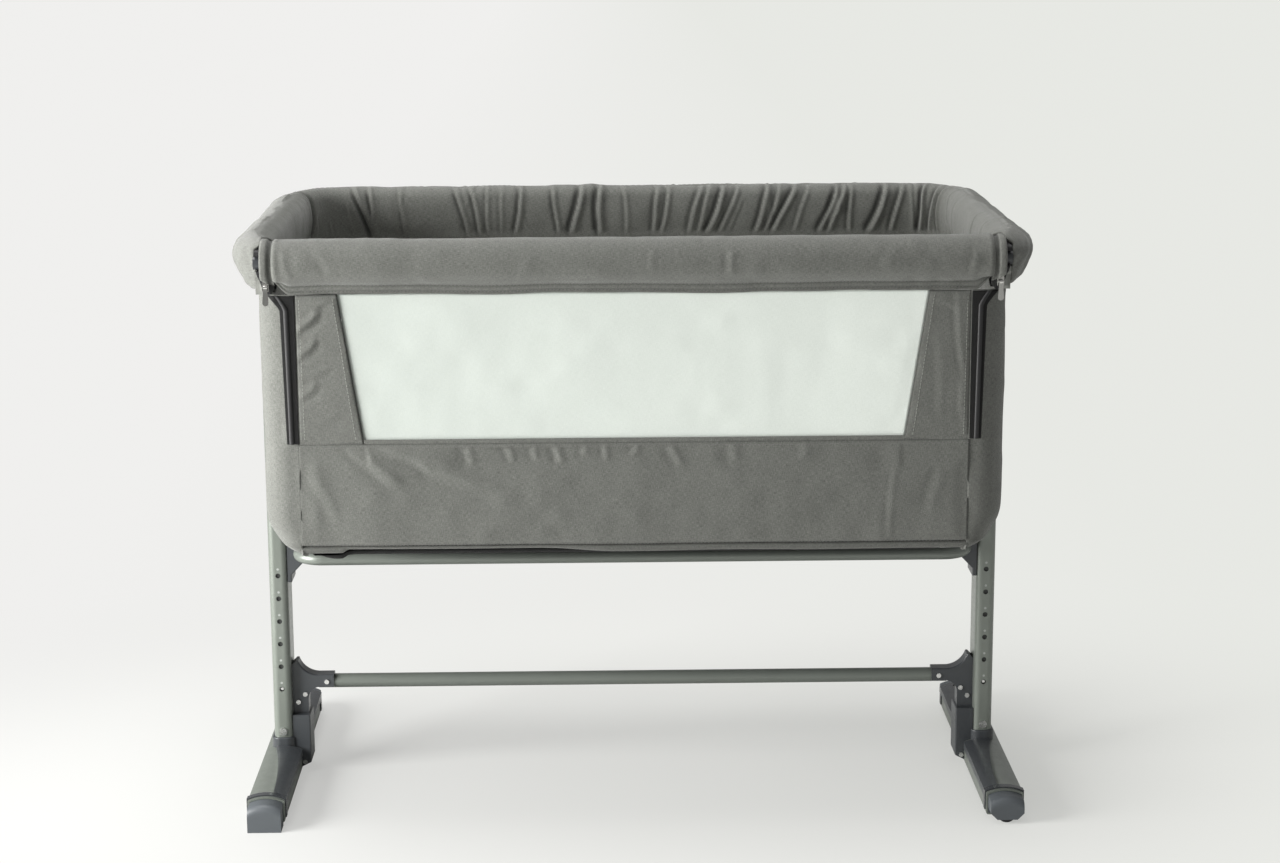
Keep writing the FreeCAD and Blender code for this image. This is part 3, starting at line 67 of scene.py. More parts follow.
def makeCamera():
    data = bpy.data.cameras.new("camera")
    data.lens = view["lens"]
    data.sensor_width = 36
    data.clip_end = 200
    camera = placed("camera", data)
    down, turn = view["down"], view["turn"]
    ahead = Vector((math.sin(turn) * math.cos(down), math.cos(turn) * math.cos(down),
                    -math.sin(down)))
    right = Vector((math.cos(turn), -math.sin(turn), 0))
    right = Matrix.Rotation(-view["roll"], 3, ahead) @ right
    up = right.cross(ahead)
    camera.matrix_world = Matrix((right, up, -ahead)).transposed().to_4x4()
    camera.location = view["place"]
    bpy.context.scene.camera = camera


makeCamera()
print("camera ready")


# shader helpers

def add(tree, kind, values=None, **settings):
    node = tree.nodes.new("ShaderNode" + kind)
    for name, value in settings.items():
        setattr(node, name, value)
    for name, value in (values or {}).items():
        node.inputs[name].default_value = value
    return node


def join(tree, source, target):
    tree.links.new(source, target)


def newGroup(name, inputs, outputs):
    group = bpy.data.node_groups.new(name, "ShaderNodeTree")
    kinds = {"color": "NodeSocketColor", "value": "NodeSocketFloat", "vector": "NodeSocketVector"}
    for label, kind, value in inputs:
        socket = group.interface.new_socket(label, in_out="INPUT", socket_type=kinds[kind])
        if value is not None:
            socket.default_value = value
    for label, kind in outputs:
        group.interface.new_socket(label, in_out="OUTPUT", socket_type=kinds[kind])
    return group, group.nodes.new("NodeGroupInput"), group.nodes.new("NodeGroupOutput")


def scaled(tree, vector, x, y, z):
    node = add(tree, "VectorMath", operation="MULTIPLY")
    node.inputs[1].default_value = (x, y, z)
    join(tree, vector, node.inputs[0])
    return node.outputs["Vector"]


def noiseOf(tree, vector, detail=2.0, rough=0.55):
    node = add(tree, "TexNoise", {"Scale": 1.0, "Detail": detail, "Roughness": rough})
    join(tree, vector, node.inputs["Vector"])
    return node.outputs["Fac"]


def calc(tree, operation, first, second=None, clamp=False):
    node = add(tree, "Math", operation=operation, use_clamp=clamp)
    for socket, value in zip(node.inputs, (first, second)):
        if isinstance(value, (int, float)):
            socket.default_value = value
        elif value is not None:
            join(tree, value, socket)
    return node.outputs["Value"]


def blendColors(tree, factor, first, second):
    node = add(tree, "Mix", data_type="RGBA")
    join(tree, factor, node.inputs[0])
    for socket, value in ((node.inputs[6], first), (node.inputs[7], second)):
        if isinstance(value, tuple):
            socket.default_value = value
        else:
            join(tree, value, socket)
    return node.outputs[2]


def tintColors(tree, first, second):
    node = add(tree, "Mix", data_type="RGBA", blend_type="MULTIPLY")
    node.inputs[0].default_value = 1.0
    join(tree, first, node.inputs[6])
    join(tree, second, node.inputs[7])
    return node.outputs[2]


# heathered plain weave: two sets of threads that pass over each other, spun from light
# and dark fibre, so that single threads run lighter or darker for a few millimetres

def makeWeaveGroup():
    group, given, made = newGroup("heatherWeave", [
        ("Vector", "vector", None), ("Threads", "value", 900.0),
        ("Light", "color", (0.3, 0.3, 0.28, 1)), ("Dark", "color", (0.12, 0.12, 0.11, 1)),
        ("Mottle", "value", 0.5)], [("Color", "color"), ("Height", "value")])
    cloth = given.outputs["Vector"]
    threads = add(group, "VectorMath", operation="SCALE")
    join(group, cloth, threads.inputs[0])
    join(group, given.outputs["Threads"], threads.inputs["Scale"])
    parts = add(group, "SeparateXYZ")
    join(group, threads.outputs["Vector"], parts.inputs[0])
    over = add(group, "TexChecker", {"Scale": 1.0})
    join(group, threads.outputs["Vector"], over.inputs["Vector"])
    across, along = (
        calc(group, "ABSOLUTE", calc(group, "SINE", calc(group, "MULTIPLY", part, math.pi)))
        for part in parts.outputs[:2])
    height = add(group, "Mix", data_type="FLOAT")
    join(group, over.outputs["Fac"], height.inputs[0])
    join(group, across, height.inputs[2])
    join(group, along, height.inputs[3])
    warp = noiseOf(group, scaled(group, cloth, 1500, 210, 1), 3.0, 0.7)
    weft = noiseOf(group, scaled(group, cloth, 210, 1500, 1), 3.0, 0.7)
    cloud = noiseOf(group, scaled(group, cloth, 60, 34, 40), 4.0, 0.65)
    fibre = calc(group, "ADD", calc(group, "MULTIPLY", warp, 0.55),
                 calc(group, "MULTIPLY", weft, 0.45))
    spread = calc(group, "MULTIPLY_ADD", calc(group, "SUBTRACT", fibre, 0.5), 3.0)
    spread.node.inputs[2].default_value = 0.5
    cloudy = calc(group, "MULTIPLY", calc(group, "SUBTRACT", cloud, 0.5), given.outputs["Mottle"])
    shade = calc(group, "ADD", spread, cloudy, clamp=True)
    join(group, blendColors(group, shade, given.outputs["Dark"], given.outputs["Light"]),
         made.inputs["Color"])
    join(group, calc(group, "ADD", height.outputs[0], calc(group, "MULTIPLY", fibre, 0.8)),
         made.inputs["Height"])
    return group


# moulded and painted surfaces: a fine grain, broad unevenness and light handling marks

def makeGrainGroup():
    group, given, made = newGroup("surfaceGrain", [
        ("Scale", "value", 900.0), ("Base", "color", (0.5, 0.5, 0.5, 1)),
        ("Shift", "value", 0.12), ("Rough Low", "value", 0.35), ("Rough High", "value", 0.5)],
        [("Color", "color"), ("Roughness", "value"), ("Height", "value")])
    place = add(group, "TexCoord").outputs["Object"]
    grain = add(group, "TexNoise", {"Detail": 2.0})
    join(group, place, grain.inputs["Vector"])
    join(group, given.outputs["Scale"], grain.inputs["Scale"])
    broad = noiseOf(group, scaled(group, place, 14, 14, 14), 4.0)
    marks = noiseOf(group, scaled(group, place, 60, 60, 420), 3.0, 0.7)
    tone = calc(group, "MULTIPLY_ADD", calc(group, "SUBTRACT", broad, 0.5), given.outputs["Shift"])
    tone.node.inputs[2].default_value = 1.0
    gray = add(group, "CombineColor")
    for socket in gray.inputs[:3]:
        join(group, tone, socket)
    join(group, tintColors(group, given.outputs["Base"], gray.outputs["Color"]),
         made.inputs["Color"])
    rough = add(group, "MapRange", {"From Min": 0.3, "From Max": 0.75})
    join(group, marks, rough.inputs["Value"])
    join(group, given.outputs["Rough Low"], rough.inputs["To Min"])
    join(group, given.outputs["Rough High"], rough.inputs["To Max"])
    join(group, rough.outputs["Result"], made.inputs["Roughness"])
    join(group, grain.outputs["Fac"], made.inputs["Height"])
    return group


weaveGroup = makeWeaveGroup()
grainGroup = makeGrainGroup()


def startMaterial(name, settings):
    material = bpy.data.materials.new(name)
    material.use_nodes = True
    tree = material.node_tree
    tree.nodes.clear()
    shader = add(tree, "BsdfPrincipled", settings)
    output = add(tree, "OutputMaterial")
    join(tree, shader.outputs["BSDF"], output.inputs["Surface"])
    return material, tree, shader


def bumpInto(tree, shader, height, strength, distance):
    bump = add(tree, "Bump", {"Strength": strength, "Distance": distance})
    join(tree, height, bump.inputs["Height"])
    join(tree, bump.outputs["Normal"], shader.inputs["Normal"])


def clothMaterial(name, light, dark, threads=900.0, mottle=0.5, bump=0.5, rough=0.92, sheen=0.25,
                  by="UV"):
    material, tree, shader = startMaterial(name, {
        "Roughness": rough, "Sheen Weight": sheen, "Sheen Roughness": 0.45,
        "Specular IOR Level": 0.25})
    weave = add(tree, "Group", node_tree=weaveGroup, values={
        "Threads": threads, "Light": (*light, 1), "Dark": (*dark, 1), "Mottle": mottle})
    join(tree, add(tree, "TexCoord").outputs[by], weave.inputs["Vector"])
    # painted shade: seams, grooves and the bottoms of folds are darkened by the shade attribute
    # painted on each piece
    paintedShade = calc(tree, "MULTIPLY", add(tree, "Attribute", attribute_name="shade").outputs["Fac"],
                0.85, clamp=True)
    join(tree, blendColors(tree, paintedShade, weave.outputs["Color"], (0.006, 0.006, 0.005, 1)),
         shader.inputs["Base Color"])
    bumpInto(tree, shader, weave.outputs["Height"], bump, 0.0004)
    return material


def hardMaterial(name, base, low, high, scale=900.0, shift=0.12, bump=0.15, **settings):
    material, tree, shader = startMaterial(name, {"Specular IOR Level": 0.5, **settings})
    grain = add(tree, "Group", node_tree=grainGroup, values={
        "Scale": scale, "Base": (*base, 1), "Shift": shift, "Rough Low": low,
        "Rough High": high})
    join(tree, grain.outputs["Color"], shader.inputs["Base Color"])
    join(tree, grain.outputs["Roughness"], shader.inputs["Roughness"])
    bumpInto(tree, shader, grain.outputs["Height"], bump, 0.0002)
    return material


heatherCloth = clothMaterial("heatherCloth", (0.2, 0.204, 0.188), (0.064, 0.066, 0.06),
                             mottle=0.25)
zipTape = clothMaterial("zipTape", (0.013, 0.013, 0.013), (0.005, 0.005, 0.005), threads=1500.0,
                        bump=0.6, rough=0.8, sheen=0.05)
# black lining under the basket, darkened further as painted shade for the dark gap below the
# basket's hem
underCloth = clothMaterial("underCloth", (0.011, 0.011, 0.011), (0.005, 0.005, 0.005),
                           threads=1100.0, rough=0.9, sheen=0.05)
mattressCotton = clothMaterial("mattressCotton", (0.82, 0.81, 0.78), (0.7, 0.69, 0.66),
                               threads=1000.0, mottle=0.2, bump=0.35, by="Object")
threadGray = clothMaterial("threadGray", (0.22, 0.222, 0.21), (0.1, 0.1, 0.095), threads=2500.0)
# pale thread, which also stands in as a painted highlight along the strips' folded edges
paleThreadAndHighlight = clothMaterial("paleThreadAndHighlight", (0.34, 0.345, 0.32), (0.24, 0.245, 0.225),
                           threads=2500.0)
satinPaint = hardMaterial("satinPaint", (0.17, 0.187, 0.166), 0.3, 0.42, scale=700.0,
                          Metallic=0.35, **{"Coat Weight": 0.25, "Coat Roughness": 0.25})
# inner tubes: dark paint, darkened further as painted shade so that the locking holes in front of
# them read dark
innerSteelAndHoleShade = hardMaterial("innerSteelAndHoleShade", (0.03, 0.032, 0.03), 0.5, 0.65, scale=700.0)
crossPaint = hardMaterial("crossPaint", (0.165, 0.182, 0.163), 0.34, 0.46, scale=700.0,
                          Metallic=0.35)
capPlastic = hardMaterial("capPlastic", (0.072, 0.081, 0.089), 0.4, 0.55, scale=1600.0)
darkPlastic = hardMaterial("darkPlastic", (0.042, 0.046, 0.05), 0.28, 0.42, scale=1800.0)
glossPlastic = hardMaterial("glossPlastic", (0.035, 0.038, 0.042), 0.14, 0.24, scale=1200.0,
                            bump=0.06)
wheelRubber = hardMaterial("wheelRubber", (0.02, 0.02, 0.022), 0.5, 0.65, scale=2200.0, bump=0.3)
zincSteel = hardMaterial("zincSteel", (0.7, 0.7, 0.69), 0.18, 0.34, scale=1500.0, Metallic=1.0)
nickelMetal = hardMaterial("nickelMetal", (0.66, 0.655, 0.63), 0.12, 0.26, scale=1500.0,
                           Metallic=1.0)
pressedBoard = hardMaterial("pressedBoard", (0.42, 0.33, 0.23), 0.6, 0.8, scale=500.0, shift=0.5)
printInk = hardMaterial("printInk", (0.33, 0.35, 0.33), 0.5, 0.65, scale=1500.0)
coilPlastic = hardMaterial("coilPlastic", (0.014, 0.014, 0.015), 0.5, 0.65, scale=2000.0)


# the pale window cloth, with painted light and shade graded along its length: darker on the side
# nearer to the lamp, paler away from it

def makeWindowKnit():
    material, tree, shader = startMaterial("windowKnit", {
        "Roughness": 0.85, "Sheen Weight": 0.15, "Sheen Roughness": 0.45,
        "Specular IOR Level": 0.25})
    place = add(tree, "TexCoord")
    weave = add(tree, "Group", node_tree=weaveGroup, values={
        "Threads": 1300.0, "Light": (1.0, 1.0, 1.0, 1), "Dark": (0.86, 0.87, 0.86, 1),
        "Mottle": 0.3})
    join(tree, place.outputs["UV"], weave.inputs["Vector"])
    parts = add(tree, "SeparateXYZ")
    join(tree, place.outputs["Object"], parts.inputs[0])
    across = add(tree, "MapRange", {"From Min": -0.36, "From Max": 0.36})
    join(tree, parts.outputs["X"], across.inputs["Value"])
    paintedLightGrade = blendColors(tree, across.outputs["Result"], (0.5, 0.535, 0.505, 1), (0.8, 0.845, 0.8, 1))
    join(tree, tintColors(tree, paintedLightGrade, weave.outputs["Color"]), shader.inputs["Base Color"])
    bumpInto(tree, shader, weave.outputs["Height"], 0.25, 0.0004)
    return material


windowKnit = makeWindowKnit()


# the clips are black plastic; outside a slanting line they are coloured like the cover's cloth,
# so that only a black crescent shows

clipLine = {"foot": 0.4255, "level": 0.664, "slope": 0.303, "top": 0.694}


def makeClipCover(sideName):
    node = cadNodes["rail_clip_" + sideName]
    material, tree, shader = startMaterial("clipCover_" + sideName, {"Roughness": 0.6})
    spot = add(tree, "VectorMath", operation="ADD")
    join(tree, add(tree, "TexCoord").outputs["Object"], spot.inputs[0])
    spot.inputs[1].default_value = node.matrix_world.translation
    parts = add(tree, "SeparateXYZ")
    join(tree, spot.outputs["Vector"], parts.inputs[0])
    across = calc(tree, "SUBTRACT", calc(tree, "ABSOLUTE", parts.outputs[0]),
                  clipLine["foot"])
    height = calc(tree, "MULTIPLY", calc(tree, "SUBTRACT", parts.outputs[2], clipLine["level"]),
                  clipLine["slope"])
    low = calc(tree, "LESS_THAN", calc(tree, "SUBTRACT", height, across), 0.0)
    covered = calc(tree, "MULTIPLY", low,
                   calc(tree, "LESS_THAN", parts.outputs[2], clipLine["top"]))
    weave = add(tree, "Group", node_tree=weaveGroup, values={
        "Light": (0.3, 0.306, 0.285, 1), "Dark": (0.12, 0.123, 0.112, 1)})
    join(tree, spot.outputs["Vector"], weave.inputs["Vector"])
    grain = add(tree, "Group", {"Base": (0.007, 0.007, 0.008, 1)}, node_tree=grainGroup)
    join(tree, blendColors(tree, covered, grain.outputs["Color"], weave.outputs["Color"]),
         shader.inputs["Base Color"])
    bumpInto(tree, shader, grain.outputs["Height"], 0.2, 0.0002)
    return material


# the frame's own nodes keep their shapes and take these finishes
nodeLooks = {
    "foot_tube_": satinPaint, "upright_left": satinPaint, "upright_right": satinPaint,
    "inner_tube_": innerSteelAndHoleShade, "base_loop_": crossPaint, "lower_crossbar": crossPaint,
    "rail_tube_": satinPaint, "front_rail_tube": satinPaint,
    "foot_cap_": capPlastic, "wheel_housing_": capPlastic,
    "foot_end_rings": glossPlastic, "foot_socket_": darkPlastic, "crossbar_gusset_": darkPlastic,
    "loop_bracket_": darkPlastic, "upright_guides": darkPlastic,
    "rail_clip_left": makeClipCover("left"), "rail_clip_right": makeClipCover("right"),
    "rail_plug_": darkPlastic, "wheel_front": wheelRubber, "wheel_rear": wheelRubber,
    "wheel_axles": zincSteel, "upright_bolts": zincSteel, "socket_screws": zincSteel,
    "button_springs": zincSteel, "snap_button_": zincSteel, "zip_slider_": nickelMetal,
    "zip_pull_": nickelMetal, "base_board": pressedBoard,
}


def dressNodes():
    for name, node in cadNodes.items():
        for start, material in nodeLooks.items():
            if name.startswith(start):
                node.data.materials.clear()
                node.data.materials.append(material)
                for face in node.data.polygons:
                    face.material_index = 0


dressNodes()
print("finishes ready")


# cloth helpers: every soft piece starts as rows of points

def smooth(x):
    x = np.clip(x, 0, 1)
    return x * x * (3 - 2 * x)


def hump(distance, width):
    return np.exp(-(distance / width) ** 2)


def softNoise(u, v, size, seed):
    # smooth random bumps about size apart, from -1 to 1
    table = np.random.default_rng(seed).uniform(-1, 1, (97, 97))
    x, y = np.asarray(u / size, float), np.asarray(v / size, float)
    i, j = np.floor(x).astype(int), np.floor(y).astype(int)
    a, b = smooth(x - i), smooth(y - j)
    def at(p, q):
        return table[p % 97, q % 97]
    low = at(i, j) * (1 - a) + at(i + 1, j) * a
    high = at(i, j + 1) * (1 - a) + at(i + 1, j + 1) * a
    return low * (1 - b) + high * b


def crease(u, v, start, end, width, depth):
    # a ridge from start to end with a shallow valley beside it, fading at both ends
    du, dv = end[0] - start[0], end[1] - start[1]
    length = math.hypot(du, dv)
    along = ((u - start[0]) * du + (v - start[1]) * dv) / length ** 2
    across = ((u - start[0]) * dv - (v - start[1]) * du) / length
    across = across + width * 0.5 * np.sin(along * 4 + start[0] * 90)
    fade = smooth((along + 0.12) / 0.3) * smooth((1.12 - along) / 0.3)
    ridge = hump(across, width) - 0.7 * np.exp(-(across / width - 1.7) ** 2)
    return depth * fade * ridge


def foldsOf(u, v, folds, side=1):
    # folds listed as both ends in metres, width and height in millimetres
    return sum(crease(u, v, (x0 * side, z0), (x1 * side, z1), width * 0.001, tall * 0.001)
               for x0, z0, x1, z1, width, tall in folds)


def runOf(points):
    # the way from the first point to each of the others
    return np.concatenate([[0], np.cumsum(np.linalg.norm(np.diff(points, axis=0), axis=1))])


def spline(points, count, closed=True):
    # evenly spaced points on a smooth line through the given ones
    p = np.array(points, float)
    p = np.vstack([p[-1], p, p[0], p[1]]) if closed else np.vstack([p[0], p, p[-1]])
    fine = []
    for i in range(1, len(p) - 2):
        t = np.linspace(0, 1, 24, endpoint=False)[:, None]
        fine.append(0.5 * (2 * p[i] + (p[i + 1] - p[i - 1]) * t
                           + (2 * p[i - 1] - 5 * p[i] + 4 * p[i + 1] - p[i + 2]) * t ** 2
                           + (3 * p[i] - p[i - 1] - 3 * p[i + 1] + p[i + 2]) * t ** 3))
    fine.append(p[-2][None] if not closed else fine[0][:1])
    fine = np.vstack(fine)
    run = runOf(fine)
    wanted = np.linspace(0, run[-1], count + 1)[:-1] if closed else np.linspace(0, run[-1], count)
    return np.stack([np.interp(wanted, run, fine[:, k]) for k in range(fine.shape[1])], axis=1)


def outwardOf(grid, closed=False):
    along = np.gradient(grid, axis=0)
    if closed:
        across = np.roll(grid, -1, axis=1) - np.roll(grid, 1, axis=1)
    else:
        across = np.gradient(grid, axis=1)
    out = np.cross(across, along)
    size = np.linalg.norm(out, axis=2, keepdims=True)
    return out / np.where(size > 1e-12, size, 1)


def runLengths(grid, axis):
    steps = np.linalg.norm(np.diff(grid, axis=axis), axis=2)
    return np.concatenate([[0], np.cumsum(steps.mean(axis=1 - axis))])


def sewn(name, grid, material, body, closed=False, flip=False, thick=0.0, shade=None):
    # rows and columns of points become a piece of cloth with its own thread directions;
    # one with no body is left unattached
    rows, cols = grid.shape[:2]
    wrap = cols if closed else cols - 1
    wrapped = np.concatenate([grid, grid[:, :1]], axis=1) if closed else grid
    u, v = runLengths(grid, 0), runLengths(wrapped, 1)
    faces, places = [], []
    for i in range(rows - 1):
        for j in range(wrap):
            k = (j + 1) % cols
            corners = [(i, j, j), (i + 1, j, j), (i + 1, k, j + 1), (i, k, j + 1)]
            if flip:
                corners.reverse()
            faces.append([a * cols + b for a, b, c in corners])
            places.extend((v[c], u[a]) for a, b, c in corners)
    mesh = bpy.data.meshes.new(name)
    mesh.from_pydata(grid.reshape(-1, 3).tolist(), [], faces)
    layer = mesh.uv_layers.new(name="threads")
    layer.data.foreach_set("uv", np.array(places, np.float32).ravel())
    mesh.polygons.foreach_set("use_smooth", [True] * len(faces))
    mesh.materials.append(material)
    piece = placed(name, mesh)
    if shade is not None:
        painted = mesh.attributes.new("shade", "FLOAT", "POINT")
        painted.data.foreach_set("value", np.clip(shade, 0, 1).astype(np.float32).ravel())
    if thick:
        solid = piece.modifiers.new("thickness", "SOLIDIFY")
        solid.thickness = thick
        solid.offset = -1
    if body:
        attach(piece, body)
    return piece


def stitches(name, lines, body, material=threadGray, pitch=0.0042, length=0.0029, width=0.0004,
             lift=0.0002):
    # single stitches, set in line along each given run of points and their outward directions
    corners, faces = [], []
    for path, outs in lines:
        path, outs = np.array(path, float), np.array(outs, float)
        run = runOf(path)
        for middle in np.arange(pitch / 2, run[-1], pitch):
            ends = [np.array([np.interp(middle + d, run, path[:, k]) for k in range(3)])
                    for d in (-length / 2, length / 2)]
            out = np.array([np.interp(middle, run, outs[:, k]) for k in range(3)])
            ahead = (ends[1] - ends[0]) / (np.linalg.norm(ends[1] - ends[0]) + 1e-12)
            side = np.cross(out, ahead) * width
            first = len(corners)
            for end, rise in ((ends[0], -0.2), (ends[0] + ahead * length * 0.25, 1),
                              (ends[1] - ahead * length * 0.25, 1), (ends[1], -0.2)):
                corners.append(end - side + out * lift * 0.2)
                corners.append(end + out * lift * (2.2 if rise > 0 else 0.2))
                corners.append(end + side + out * lift * 0.2)
            for k in range(3):
                a = first + 3 * k
                faces += [(a, a + 3, a + 4, a + 1), (a + 1, a + 4, a + 5, a + 2)]
    mesh = bpy.data.meshes.new(name)
    mesh.from_pydata(corners, [], faces)
    mesh.polygons.foreach_set("use_smooth", [True] * len(faces))
    mesh.uv_layers.new(name="threads")
    mesh.materials.append(material)
    piece = placed(name, mesh)
    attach(piece, body)
    return piece


# padded cover round the ends and the rear

railCover = {
    "axis": 0.696, "ends": 0.442, "sides": 0.254, "bend": 0.072, "mouth": math.radians(37),
    "step": 0.0022, "around": 104, "girth": 0.178,
    # section from the top, down the inner side and up the outer side, millimetres
    "section": ((0, 27.2), (-10.5, 25.2), (-18.3, 18.5), (-21.5, 7), (-22, -6), (-20.5, -20),
                (-17.5, -32), (-16.5, -38), (-14.7, -41.3), (-12.9, -39.5), (-11.5, -36),
                (-5.5, -32.5), (2, -28), (13, -21), (22, -12), (26.8, -1.5), (26.4, 9),
                (20.3, 18.5), (10.5, 25)),
    # the mouths: how far out their edges lie, and where the warp towards them starts
    "edge": 0.437, "edgeTop": 0.4285, "warp": math.radians(12), "least": math.radians(36),
    # folds down the inner side of the rear: place at the top, place below, width, height
    "rearFolds": (
        (-0.36, -0.338, 3.4, 2.6), (-0.343, -0.333, 3.2, 2.2), (-0.30, -0.296, 3, 1.0),
        (-0.225, -0.211, 3.2, 1.7), (-0.207, -0.193, 3.2, 1.8), (-0.186, -0.183, 2.8, 1.2),
        (-0.165, -0.168, 2.6, 0.9), (-0.14, -0.147, 3.2, 2.0), (-0.096, -0.091, 3, 1.6),
        (-0.06, -0.071, 4.2, 2.9), (-0.033, -0.036, 4.2, 3.0), (-0.003, 0.001, 3, 1.0),
        (0.044, 0.034, 3.2, 1.5), (0.059, 0.045, 3.2, 1.5), (0.1, 0.083, 3.4, 1.5),
        (0.113, 0.094, 3, 1.2), (0.132, 0.107, 3.8, 2.8), (0.149, 0.125, 3.2, 1.6),
        (0.192, 0.17, 3.4, 1.9), (0.206, 0.184, 3, 1.3), (0.225, 0.196, 3.6, 2.5),
        (0.245, 0.222, 3, 1.1), (0.283, 0.259, 3.8, 2.6), (0.291, 0.271, 3.6, 2.8),
        (0.299, 0.299, 3, 1.5), (0.348, 0.325, 4, 3.0), (0.368, 0.354, 3.2, 1.9),
        (0.408, 0.398, 4.2, 3.2), (0.43, 0.418, 3.6, 1.8), (0.445, 0.436, 3.4, 1.7)),
}


def railPath():
    # stations from the left mouth round the rear to the right mouth: place, outward, length,
    # and how far each has turned towards its mouth
    end, side, bend, mouth = (railCover[key] for key in ("ends", "sides", "bend", "mouth"))
    cx, cy = end - bend, side - bend
    step = railCover["step"]
    places, outs = [], []
    def arc(x, y, first, last):
        for a in np.linspace(first, last, max(int(abs(last - first) * bend / step), 2),
                             endpoint=False):
            out = (math.cos(a), math.sin(a))
            places.append((x + bend * out[0], y + bend * out[1]))
            outs.append(out)
    def straight(start, stop, out):
        count = int(math.dist(start, stop) / step)
        for t in np.linspace(0, 1, count, endpoint=False):
            places.append(tuple(a + (b - a) * t for a, b in zip(start, stop)))
            outs.append(out)
    arc(-cx, -cy, math.pi + mouth, math.pi)
    straight((-end, -cy), (-end, cy), (-1, 0))
    arc(-cx, cy, math.pi, math.pi / 2)
    straight((-cx, side), (cx, side), (0, 1))
    arc(cx, cy, math.pi / 2, 0)
    straight((end, cy), (end, -cy), (1, 0))
    arc(cx, -cy, 0, -mouth)
    places, outs = np.array(places), np.array(outs)
    run = runOf(places)
    turned = np.where(places[:, 1] < -cy, np.arctan2(-outs[:, 1], np.abs(outs[:, 0])), 0)
    return places, outs, run - run[-1] / 2, turned


def warpMouths(base, outs, turned, section):
    # the outer side reaches further round than the inner side, past the clip
    end, side, bend = (railCover[key] for key in ("ends", "sides", "bend"))
    first, last, least = (railCover[key] for key in ("warp", "mouth", "least"))
    reach = bend + section[:, 0]
    level = section[:, 1]
    hung = level - 0.013 * smooth((section[:, 0] + 0.006) / 0.01) * smooth(
        (0.0275 - section[:, 0]) / 0.012) * smooth((-0.004 - level) / 0.01)
    hung = np.where(level < -0.004, np.maximum(hung, np.minimum(level, -0.0353)), level)
    for i in np.nonzero(turned > 0.02)[0]:
        base[i, :, 2] += (hung - level) * smooth((turned[i] - 0.02) / (last - 0.06))
    drawnIn = railCover["edge"] - railCover["edgeTop"]
    edge = railCover["edge"] - drawnIn * smooth((level - 0.0155) / 0.008)
    limit = np.arccos(np.clip((edge - (end - bend)) / reach, -1, 1))
    limit = np.where(section[:, 0] > 0, np.maximum(least, limit), least)
    for i in np.nonzero(turned > first)[0]:
        angle = first + (turned[i] - first) * (limit - first) / (last - first)
        base[i, :, 0] = (end - bend + reach * np.cos(angle)) * np.sign(outs[i, 0])
        base[i, :, 1] = -(side - bend + reach * np.sin(angle))


